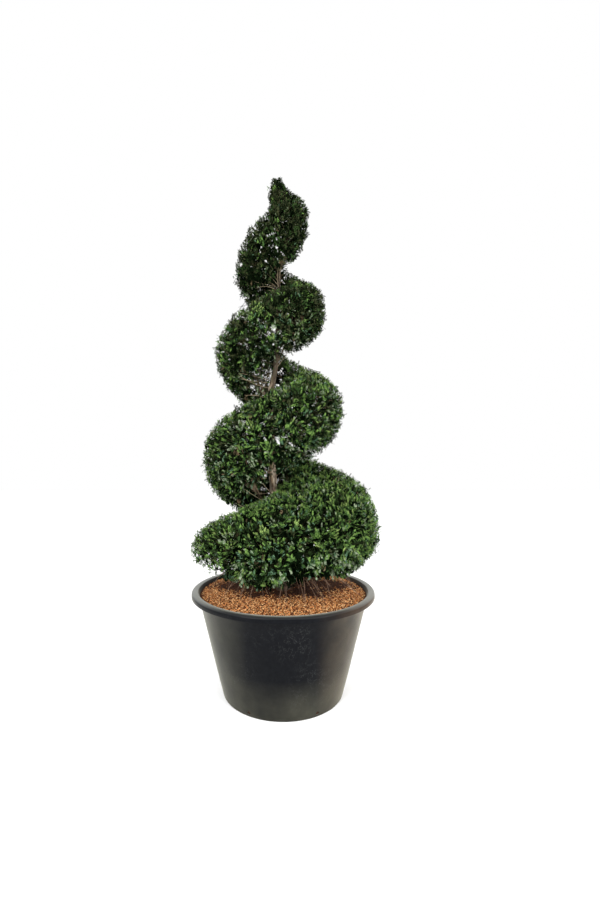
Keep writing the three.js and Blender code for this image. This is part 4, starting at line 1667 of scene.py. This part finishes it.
@dataclass
class Skirt:
    """Grey-green sprays in clumps and bare twigs, which hang under the front of the lowest coil."""

    rng: Rng
    count: int = 620
    turns: Pair = (0.15, 0.60)
    places: Pair = (-0.72, -0.06)
    inset: float = 0.010
    hang: float = 0.045
    spray: Triple = (0.036, 0.0155, 0.0056)
    # One of the tints is the near-black painted shade.
    tints: dict[Tint, float] = field(default_factory=lambda: {
        Tint.SAGE: 0.56, Tint.SHADE: 0.16, Tint.DEEP: 0.16, Tint.BLUE: 0.12})
    curtain_sprays: int = 700
    curtain_turns: Pair = (0.02, 1.0)
    curtain_reach: Pair = (0.10, 0.54)
    curtain_heights: Pair = (0.670, 0.900)
    curtain_spray: Triple = (0.070, 0.034, 0.014)
    bare_twigs: int = 105
    twig_turns: Pair = (-0.14, 0.60)
    twig_drop_turns: Pair = (0.02, 0.17)
    twig_foot: float = 0.630
    twig_radii: Pair = (0.0020, 0.0009)
    lower_edge: Knots = (
        (-0.220, -1.20), (-0.040, -0.55), (0.020, -0.38), (0.060, -0.30), (0.102, -0.30), (0.116, -0.10),
        (0.132, -1.00), (0.184, -1.00), (0.196, -0.12), (0.208, -0.90), (0.246, -1.10), (0.257, -0.04),
        (0.276, 0.02), (0.288, -0.16), (0.304, -0.24), (0.314, -0.14), (0.321, 0.00), (0.332, -0.34),
        (0.350, -0.40), (0.362, -0.10), (0.378, -0.50), (0.416, -0.55), (0.430, -0.20), (0.448, -0.70),
        (0.520, -0.80), (0.530, -0.40), (0.545, -1.00), (0.640, -1.20))
    edge_soft: float = 0.10

    @staticmethod
    def clumps(turn: Array, place: Array) -> Array:
        """Share from 0, in the dark gaps under the skirt's lower edge, to 1, over it."""
        edge = np.interp(turn, *zip(*Skirt.lower_edge))
        return np.clip((place - edge) / Skirt.edge_soft + 0.5, 0, 1)

    def sprays(self) -> Sprays:
        """Makes the hanging sprays.

        Returns:
            The sprays, most of them where the skirt reaches low.
        """
        turn = self.rng.uniform(*self.turns, 3 * self.count)
        edge = np.interp(turn, *zip(*self.lower_edge))
        kept = self.rng.random(len(turn)) < np.clip((-0.02 - edge) / 0.30, 0.08, 1)
        turn, edge = turn[kept][:self.count], edge[kept][:self.count]
        count = len(turn)
        place = np.clip(edge + self.rng.uniform(0.0, 0.28, count), *self.places)
        tips = COIL.skin(turn, place, self.inset)
        tips[:, 2] -= self.hang * self.rng.uniform(-0.3, 1.0, count)
        azimuth = math.pi * (1 + 2 * turn)
        away = np.stack([np.cos(azimuth), np.sin(azimuth), np.zeros(count)], axis=-1)
        growth = unit(away * 0.45 + [0, 0, -1.0] + self.rng.normal(0, 0.35, (count, 3)))
        faces = square_to(growth, unit(away + self.rng.normal(0, 0.5, (count, 3))))
        tints = self.rng.choice([tint.value for tint in self.tints], count, p=list(self.tints.values()))
        return Sprays.sized(tips, growth, faces, mass_of(turn), tints, self.spray,
                            self.rng.uniform(0.8, 1.2, count))

    def curtain(self) -> Sprays:
        """Makes near-black sprays round the trunk's foot: painted shade under the first turn.

        Returns:
            The sprays.
        """
        count = self.curtain_sprays
        turn = self.rng.uniform(*self.curtain_turns, count)
        radius = COIL.reach(turn) * self.rng.uniform(*self.curtain_reach, count)
        lowest = self.curtain_heights[0] + 0.5 * np.maximum(radius - 0.10, 0)
        height = lowest + (self.curtain_heights[1] - lowest) * self.rng.random(count)
        tips = COIL.placed(turn, radius, height)
        growth = unit(self.rng.normal(0, 0.6, (count, 3)) + [0, 0, -0.8])
        faces = square_to(growth, unit(self.rng.normal(0, 1, (count, 3))))
        # Near-black painted shade.
        return Sprays.sized(tips, growth, faces, mass_of(turn), np.full(count, Tint.SHADE.value),
                            self.curtain_spray, self.rng.uniform(0.8, 1.2, count))

    def twigs(self) -> Limbs:
        """Grows thin bare twigs, from inside the coil down and out to the mulch or the coil's thin start.

        Returns:
            The twigs.
        """
        count = self.bare_twigs
        turn = self.rng.uniform(*self.twig_turns, count)
        outer = COIL.reach(turn) * self.rng.uniform(0.35, 0.92, count)
        low = COIL.low(turn)
        starts = COIL.placed(turn, outer * self.rng.uniform(0.4, 0.8, count), low + 0.10)
        drop = self.rng.uniform(0.0, 1.0, count) ** 1.2 * ramp(turn, *self.twig_drop_turns)
        foot = low + 0.02 - (low - self.twig_foot) * drop
        ends = COIL.placed(turn + self.rng.normal(0, 0.02, count), outer, foot)
        bends = (starts + ends) / 2 + [0, 0, 0.02] + self.rng.normal(0, 0.012, (count, 3))
        thick = self.rng.uniform(0.7, 1.3, count)
        root, tip = (radius * thick for radius in self.twig_radii)
        return Limbs(starts, bends, ends, root, tip, mass_of(turn))


def roughen(piece: Piece, reach: float, depth: float) -> None:
    """Moves a mesh's points in and out along their normals by a smooth noise.

    Args:
        piece: The piece.
        reach: Size of the noise's waves, as a share of a metre.
        depth: Furthest move.
    """
    mesh = piece.data
    for vertex in mesh.vertices:
        place = Vector((vertex.co.x, vertex.co.y, vertex.co.z * 0.3)) / reach
        vertex.co += vertex.normal * (depth * noise.noise(place * 6))
    mesh.update()


def select_only(piece: Piece) -> None:
    """Makes a piece the only one that is selected, and the active one.

    Args:
        piece: The piece.
    """
    bpy.ops.object.select_all(action="DESELECT")
    piece.select_set(True)
    bpy.context.view_layer.objects.active = piece


def turned_shell(name: str, profile: list[Pair], sides: int) -> Piece:
    """Extrudes a disc ring by ring along a profile that starts and ends under flat discs.

    Args:
        name: Name of the piece.
        profile: Radius and height of each ring.
        sides: Sides round.

    Returns:
        The closed shell, with faces outwards.
    """
    bpy.ops.object.select_all(action="DESELECT")
    first_radius, first_height = profile[0]
    bpy.ops.mesh.primitive_circle_add(vertices=sides, radius=first_radius, fill_type="NGON",
                                      location=(0, 0, first_height))
    piece = bpy.context.object
    piece.name = name
    piece.data.name = name
    bpy.ops.object.transform_apply(location=True, rotation=True, scale=True)
    bpy.ops.object.mode_set(mode="EDIT")
    for (radius, height), (next_radius, next_height) in zip(profile, profile[1:]):
        bpy.ops.mesh.extrude_region_move(TRANSFORM_OT_translate={"value": (0, 0, next_height - height)})
        share = next_radius / radius
        bpy.ops.transform.resize(value=(share, share, 1), center_override=(0, 0, next_height))
    bpy.ops.mesh.select_all(action="SELECT")
    bpy.ops.mesh.normals_make_consistent(inside=False)
    bpy.ops.object.mode_set(mode="OBJECT")
    return piece


def apply_modifier(piece: Piece, kind: str, **settings: object) -> None:
    """Adds a modifier with its settings and applies it.

    Args:
        piece: The piece.
        kind: Name of the modifier's type.
        **settings: The modifier's own settings.
    """
    select_only(piece)
    modifier = piece.modifiers.new(kind.lower(), kind)
    for name, value in settings.items():
        setattr(modifier, name, value)
    bpy.ops.object.modifier_apply(modifier=modifier.name)


@dataclass
class BarkedTrunk:
    """The trunk with its bark's relief, made from a copy of the part's trunk."""

    levels: int = 3
    plate_width: float = 0.016
    plate_length: float = 0.085
    relief: float = 0.0032
    wander_scale: float = 14.0
    wander: float = 0.35
    crack_width: float = 0.28
    lift_scale: float = 0.7
    most_lift: float = 0.3
    finish: BarkFinish = BarkFinish(
        "trunk_bark", srgb(244, 224, 196), srgb(198, 162, 136), srgb(56, 40, 31), 62, 0.2, 0.0015,
        grey_and_shade_share=0.92, painted_shade_share=0.92)

    def build(self) -> None:
        """Builds the trunk and puts it in place of the part's node."""
        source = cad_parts["trunk"]
        piece = bpy.data.objects.new("barked_trunk", source.data.copy())
        bpy.context.scene.collection.objects.link(piece)
        select_only(piece)
        bpy.ops.mesh.customdata_custom_splitnormals_clear()
        bpy.ops.object.mode_set(mode="EDIT")
        bpy.ops.mesh.select_all(action="SELECT")
        bpy.ops.mesh.remove_doubles(threshold=1e-5)
        bpy.ops.mesh.tris_convert_to_quads(
            face_threshold=math.radians(40), shape_threshold=math.radians(60))
        bpy.ops.object.mode_set(mode="OBJECT")
        apply_modifier(piece, "SUBSURF", levels=self.levels, render_levels=self.levels)
        self.carve(piece)
        piece.data.polygons.foreach_set("use_smooth", np.full(len(piece.data.polygons), True))
        place_piece(piece, self.finish.material(), ["trunk"])

    def carve(self, piece: Piece) -> None:
        """Raises long flaky plates and cuts the cracks between them.

        Args:
            piece: The trunk.
        """
        for vertex in piece.data.vertices:
            spot = vertex.co
            wander = noise.noise(spot * self.wander_scale) * self.wander
            place = Vector((spot.x / self.plate_width + wander, spot.y / self.plate_width + wander,
                            spot.z / self.plate_length))
            near_point, far_point = noise.voronoi(place)[0][:2]
            crack = max(0.0, 1 - (far_point - near_point) / self.crack_width)
            lift = noise.cell(place * self.lift_scale) * self.most_lift
            vertex.co += vertex.normal * (self.relief * (lift - crack))
        piece.data.update()


@dataclass
class Tub:
    """The round planter: a straight leaning wall, a hooked rim with a rounded top and six drain holes."""

    height: float = 0.638
    foot_radius: float = 0.387
    foot_round: float = 0.007
    wall_top_radius: float = 0.554
    wall: float = 0.006
    floor: float = 0.008
    rim_radius: float = 0.592
    rim_drop: float = 0.030
    rim_round: float = 0.013
    rim_edge: float = 0.001
    inner_edge: float = 0.002
    drain_holes: int = 6
    drain_radius: float = 0.011
    drain_height: float = 0.024
    drill_length: float = 0.04
    drill_sides: int = 28
    sides: int = 144
    sharp_angle: float = 28.0

    def outside(self, height: float) -> float:
        """Outside radius of the wall at a height."""
        return self.foot_radius + (self.wall_top_radius - self.foot_radius) * height / self.height

    def profile(self) -> list[Pair]:
        """Lists the rings from the underside, up the wall, round the rim and down inside to the floor.

        Returns:
            Radius and height of each ring.
        """
        hook = self.rim_radius - self.wall
        under = self.height - self.wall
        drop = self.height - self.rim_drop
        rings = [(self.foot_radius - self.foot_round, 0.0)]
        for step in (1, 2, 3):
            angle = step * math.pi / 6
            rings.append((self.outside(0) - self.foot_round * (1 - math.sin(angle)),
                          self.foot_round * (1 - math.cos(angle))))
        for step in (1, 2, 3, 4):
            height = self.foot_round + (under - self.rim_round - self.foot_round) * step / 4
            rings.append((self.outside(height), height))
        rings += [(self.outside(under) + self.rim_round / 2, under), (hook, under - self.rim_round / 2),
                  (hook, drop), (self.rim_radius - self.rim_edge, drop - self.rim_edge),
                  (self.rim_radius, drop + self.rim_edge)]
        for step in range(7):
            angle = step * math.pi / 12
            rings.append((self.rim_radius - self.rim_round * (1 - math.cos(angle)),
                          self.height - self.rim_round * (1 - math.sin(angle))))
        inside = self.outside(self.height) - self.wall
        rings += [(inside + self.wall, self.height),
                  (inside + self.inner_edge, self.height - self.inner_edge),
                  (inside, self.height - self.wall), (self.outside(drop) - self.wall, drop),
                  (self.outside(self.floor) - self.wall, self.floor)]
        return rings

    def build(self) -> None:
        """Builds the planter and puts it in place of the part's node."""
        piece = turned_shell("tub", self.profile(), self.sides)
        bpy.ops.object.select_all(action="DESELECT")
        drills = []
        for number in range(self.drain_holes):
            turn = 2 * math.pi * (number + 0.5) / self.drain_holes + math.pi
            x, y = -self.foot_radius * math.sin(turn), self.foot_radius * math.cos(turn)
            bpy.ops.mesh.primitive_cylinder_add(
                vertices=self.drill_sides, radius=self.drain_radius, depth=self.drill_length,
                location=(x, y, self.drain_height), rotation=(math.pi / 2, 0, turn))
            drills.append(bpy.context.object)
        for drill in drills:
            drill.select_set(True)
        bpy.context.view_layer.objects.active = drills[0]
        bpy.ops.object.join()
        apply_modifier(piece, "BOOLEAN", object=drills[0], operation="DIFFERENCE", solver="EXACT")
        bpy.data.objects.remove(drills[0])
        select_only(piece)
        bpy.ops.object.shade_smooth_by_angle(angle=math.radians(self.sharp_angle))
        place_piece(piece, TubFinish().material(), ["planter"])


@dataclass
class HuskMulch:
    """The mulch: a low mound in the tub, with loose husks on it."""

    tub: Tub
    bottom: float = 0.5846
    edge_height: float = 0.612
    crown_height: float = 0.622
    shoulder: float = 0.86
    shoulder_rise: float = 0.6
    flat: float = 0.4
    gap: float = 0.0006
    rings: int = 44
    middle_radius: float = 0.004
    bed_depth: float = 0.002
    bed_sides: int = 120
    bumpy_below_edge: float = 0.003
    bumpy_from_rim: float = 0.004
    bumps: tuple[Pair, ...] = ((0.0045, 40.0), (0.002, 110.0))
    husks: int = 14500
    trunk_clear: float = 0.066
    own_tone_shares: Triple = (0.46, 0.30, 0.24)
    # Painted shade: husks in an ellipse round the middle take a dark tone.
    painted_shade_middle: float = 0.10
    painted_shade_reach: Pair = (0.47, 0.31)
    finishes: tuple[MottledFinish, ...] = (
        MottledFinish("husks_orange", srgb(210, 144, 86), srgb(182, 114, 62), 70, 0.85, 0.2),
        MottledFinish("husks_tan", srgb(228, 184, 130), srgb(208, 158, 102), 70, 0.85, 0.2),
        MottledFinish("husks_brown", srgb(128, 76, 48), srgb(86, 50, 32), 70, 0.85, 0.2),
        MottledFinish("husks_painted_shade", srgb(62, 38, 25), srgb(36, 22, 15), 70, 0.85, 0.2),
    )
    rng: Rng = field(default_factory=lambda: np.random.default_rng(23))

    def rim(self) -> float:
        """Radius of the mulch's edge."""
        return self.tub.outside(self.edge_height) - self.tub.wall - self.gap

    def surface(self, radius: Array) -> Array:
        """Finds the mound's height.

        Args:
            radius: Distance from the middle.

        Returns:
            The height there.
        """
        rise = self.crown_height - self.edge_height
        places = np.array([0, self.flat, self.shoulder, 1]) * self.rim()
        heights = self.edge_height + rise * np.array([1, 1, self.shoulder_rise, 0])
        return np.interp(radius, places, heights)

    def build(self) -> None:
        """Builds the mound and the husks."""
        self.build_mound()
        self.build_husks()

    def build_mound(self) -> None:
        """Builds the mound under the loose husks."""
        bottom_radius = self.tub.outside(self.bottom) - self.tub.wall - self.gap
        profile = [(bottom_radius, self.bottom)]
        for ring in range(self.rings):
            radius = self.rim() * (1 - ring / self.rings) + self.middle_radius * ring / self.rings
            profile.append((radius, float(self.surface(radius)) - self.bed_depth))
        mound = turned_shell("mulch_mound", profile, self.bed_sides)
        for vertex in mound.data.vertices:
            on_top = vertex.co.z > self.edge_height - self.bumpy_below_edge
            if on_top and vertex.co.xy.length < self.rim() - self.bumpy_from_rim:
                vertex.co.z += sum(height * noise.noise(vertex.co * scale) for height, scale in self.bumps)
        finish = MottledFinish("mulch_bed", srgb(100, 60, 36), srgb(62, 36, 22), 90, 0.95, 0.1)
        place_piece(mound, finish.material(), ["husk_mulch"])

    def build_husks(self) -> None:
        """Builds loose husks: slim curled chips in three tones, and a dark tone of painted shade round the
        middle.
        """
        first, second = even_pairs(self.husks, self.rng)
        radius = (self.rim() - 0.012) * np.sqrt(first)
        azimuth = 2 * math.pi * second
        keep = radius > self.trunk_clear
        radius, azimuth = radius[keep], azimuth[keep]
        count = len(radius)
        length = self.rng.uniform(0.008, 0.021, count)
        width = length * self.rng.uniform(0.18, 0.42, count)
        thick = self.rng.uniform(0.0014, 0.0036, count)
        heading = self.rng.uniform(0, 2 * math.pi, count)
        tilt = self.rng.normal(0, 0.38, count)
        level = np.cos(tilt)
        along = np.stack([np.cos(heading) * level, np.sin(heading) * level, np.sin(tilt)], axis=-1)
        across = unit(np.cross([0, 0, 1.0], along) + self.rng.normal(0, 0.25, (count, 3)))
        up = np.cross(along, across)
        height = self.surface(radius) + self.rng.uniform(-0.001, 0.006, count)
        centre = np.stack([radius * np.cos(azimuth), radius * np.sin(azimuth), height], axis=-1)
        curl = up * (self.rng.uniform(-0.25, 0.25, count) * length)[:, None]
        points = np.stack([
            centre - along * length[:, None] / 2 + curl,
            centre + along * length[:, None] / 2 + curl,
            centre - across * width[:, None] / 2,
            centre + across * width[:, None] / 2,
            centre + up * thick[:, None] / 2,
            centre - up * thick[:, None] / 2,
        ], axis=1)
        corners = np.array([(1, 3, 4), (3, 0, 4), (0, 2, 4), (2, 1, 4),
                            (3, 1, 5), (0, 3, 5), (2, 0, 5), (1, 2, 5)])
        # Painted shade under the crown: husks near the middle are dealt the dark tone.
        across, deep = radius * np.cos(azimuth), radius * np.sin(azimuth) - self.painted_shade_middle
        away = np.hypot(across / self.painted_shade_reach[0], deep / self.painted_shade_reach[1])
        shaded = np.clip((1.08 - away + 0.10 * np.sin(7 * azimuth)) / 0.30, 0, 0.94)
        painted_shade = self.rng.random(count) < shaded
        own_tone_count = len(self.own_tone_shares)
        tone = np.where(painted_shade, own_tone_count, self.rng.choice(own_tone_count, count, p=self.own_tone_shares))
        for number, finish in enumerate(self.finishes):
            own = points[tone == number]
            triangles = corners[None] + np.arange(len(own))[:, None, None] * points.shape[1]
            piece = mesh_piece(finish.name, own.reshape(-1, 3), triangles.reshape(-1, 3), smooth=False)
            place_piece(piece, finish.material(), [])


@dataclass
class RootBall:
    """The root ball, hidden under the mulch, keeps the part's shape."""

    finish: MottledFinish = MottledFinish("peat", srgb(62, 42, 30), srgb(40, 28, 22), 60, 0.95, 0.1)

    def dress(self) -> None:
        """Gives the part's node a peaty finish."""
        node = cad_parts["root_ball"]
        node.data.materials.clear()
        node.data.materials.append(self.finish.material())


@dataclass(frozen=True)
class Softbox:
    """A large soft square light that is aimed at the plant's middle."""

    name: str
    place: Triple
    size: float
    power: float
    aim: Triple = (0.0, 0.0, 1.6)

    def build(self) -> None:
        """Builds the light."""
        light = bpy.data.lights.new(self.name, "AREA")
        light.size = self.size
        light.energy = self.power
        lamp = bpy.data.objects.new(self.name, light)
        lamp.location = self.place
        lamp.rotation_euler = (Vector(self.aim) - Vector(self.place)).to_track_quat("-Z", "Y").to_euler()
        bpy.context.scene.collection.objects.link(lamp)


@dataclass
class Studio:
    """Pale floor, soft light all round and the camera."""

    lens: float = 16.2
    sensor: float = 36.0
    stand: Triple = (0.0, -2.735, 1.383)
    pitch_up: float = 3.6
    shift_x: float = 0.0187
    shift_y: float = -0.0017
    floor_size: float = 60.0
    floor_finish: MottledFinish = MottledFinish("pale_floor", (0.86,) * 3, (0.84,) * 3, 1.0, 0.9, 0.1)
    back_from: Pair = (-0.7, 0.5)
    back_light: Pair = (0.25, 0.80)
    above_from: Pair = (0.1, 0.9)
    above_light: Pair = (0.0, 1.2)
    softboxes: tuple[Softbox, ...] = (
        Softbox("left_softbox", (-3.0, -4.2, 2.6), 2.0, 340.0),
        Softbox("right_softbox", (3.2, -3.6, 2.2), 2.0, 285.0),
        Softbox("top_softbox", (0.2, -1.2, 6.6), 2.4, 40.0))

    def build(self) -> None:
        """Builds the studio."""
        self.build_floor()
        self.build_world()
        for softbox in self.softboxes:
            softbox.build()
        self.build_camera()

    def build_floor(self) -> None:
        """Builds a wide pale floor."""
        bpy.ops.object.select_all(action="DESELECT")
        bpy.ops.mesh.primitive_plane_add(size=self.floor_size, location=(0, 0, 0))
        floor = bpy.context.object
        floor.name = "studio_floor"
        floor.data.materials.append(self.floor_finish.material())

    def build_world(self) -> None:
        """Builds white surroundings that give less light from the front than from above and behind."""
        world = bpy.data.worlds.new("studio_light")
        world.use_nodes = True
        bpy.context.scene.world = world
        bench = NodeBench(world.node_tree)
        bench.tree.nodes.clear()
        heading = bench.apart(bench.add("ShaderNodeTexCoord").outputs["Generated"])
        back = bench.ramp(heading[1], *self.back_from, *self.back_light)
        above = bench.ramp(heading[2], *self.above_from, *self.above_light)
        strength = bench.add("ShaderNodeMath", {0: back, 1: above}, operation="ADD")
        lit = bench.add("ShaderNodeBackground", {"Color": (1, 1, 1, 1), "Strength": strength.outputs[0]})
        seen = bench.add("ShaderNodeBackground", {"Color": (1, 1, 1, 1), "Strength": 1.0})
        path = bench.add("ShaderNodeLightPath")
        both = bench.add("ShaderNodeMixShader", {0: path.outputs["Is Camera Ray"], 1: lit.outputs[0],
                                                 2: seen.outputs[0]})
        bench.add("ShaderNodeOutputWorld", {"Surface": both.outputs[0]})

    def build_camera(self) -> None:
        """Builds the camera, where the photo was taken from."""
        camera = bpy.data.cameras.new("photo_camera")
        camera.lens = self.lens
        camera.sensor_width = self.sensor
        camera.shift_x = self.shift_x
        camera.shift_y = self.shift_y
        camera.clip_start = 0.05
        viewer = bpy.data.objects.new("photo_camera", camera)
        viewer.location = self.stand
        viewer.rotation_euler = (math.radians(90 + self.pitch_up), 0, 0)
        bpy.context.scene.collection.objects.link(viewer)
        bpy.context.scene.camera = viewer
        bpy.context.scene.view_settings.view_transform = "Standard"


def main() -> None:
    """Builds every sub-assembly in order."""
    logging.basicConfig(level=logging.INFO, format="%(name)s: %(message)s")
    tub = Tub()
    BarkedTrunk().build()
    Foliage().build()
    tub.build()
    HuskMulch(tub).build()
    RootBall().dress()
    Studio().build()


if __name__ == "__main__":
    main()
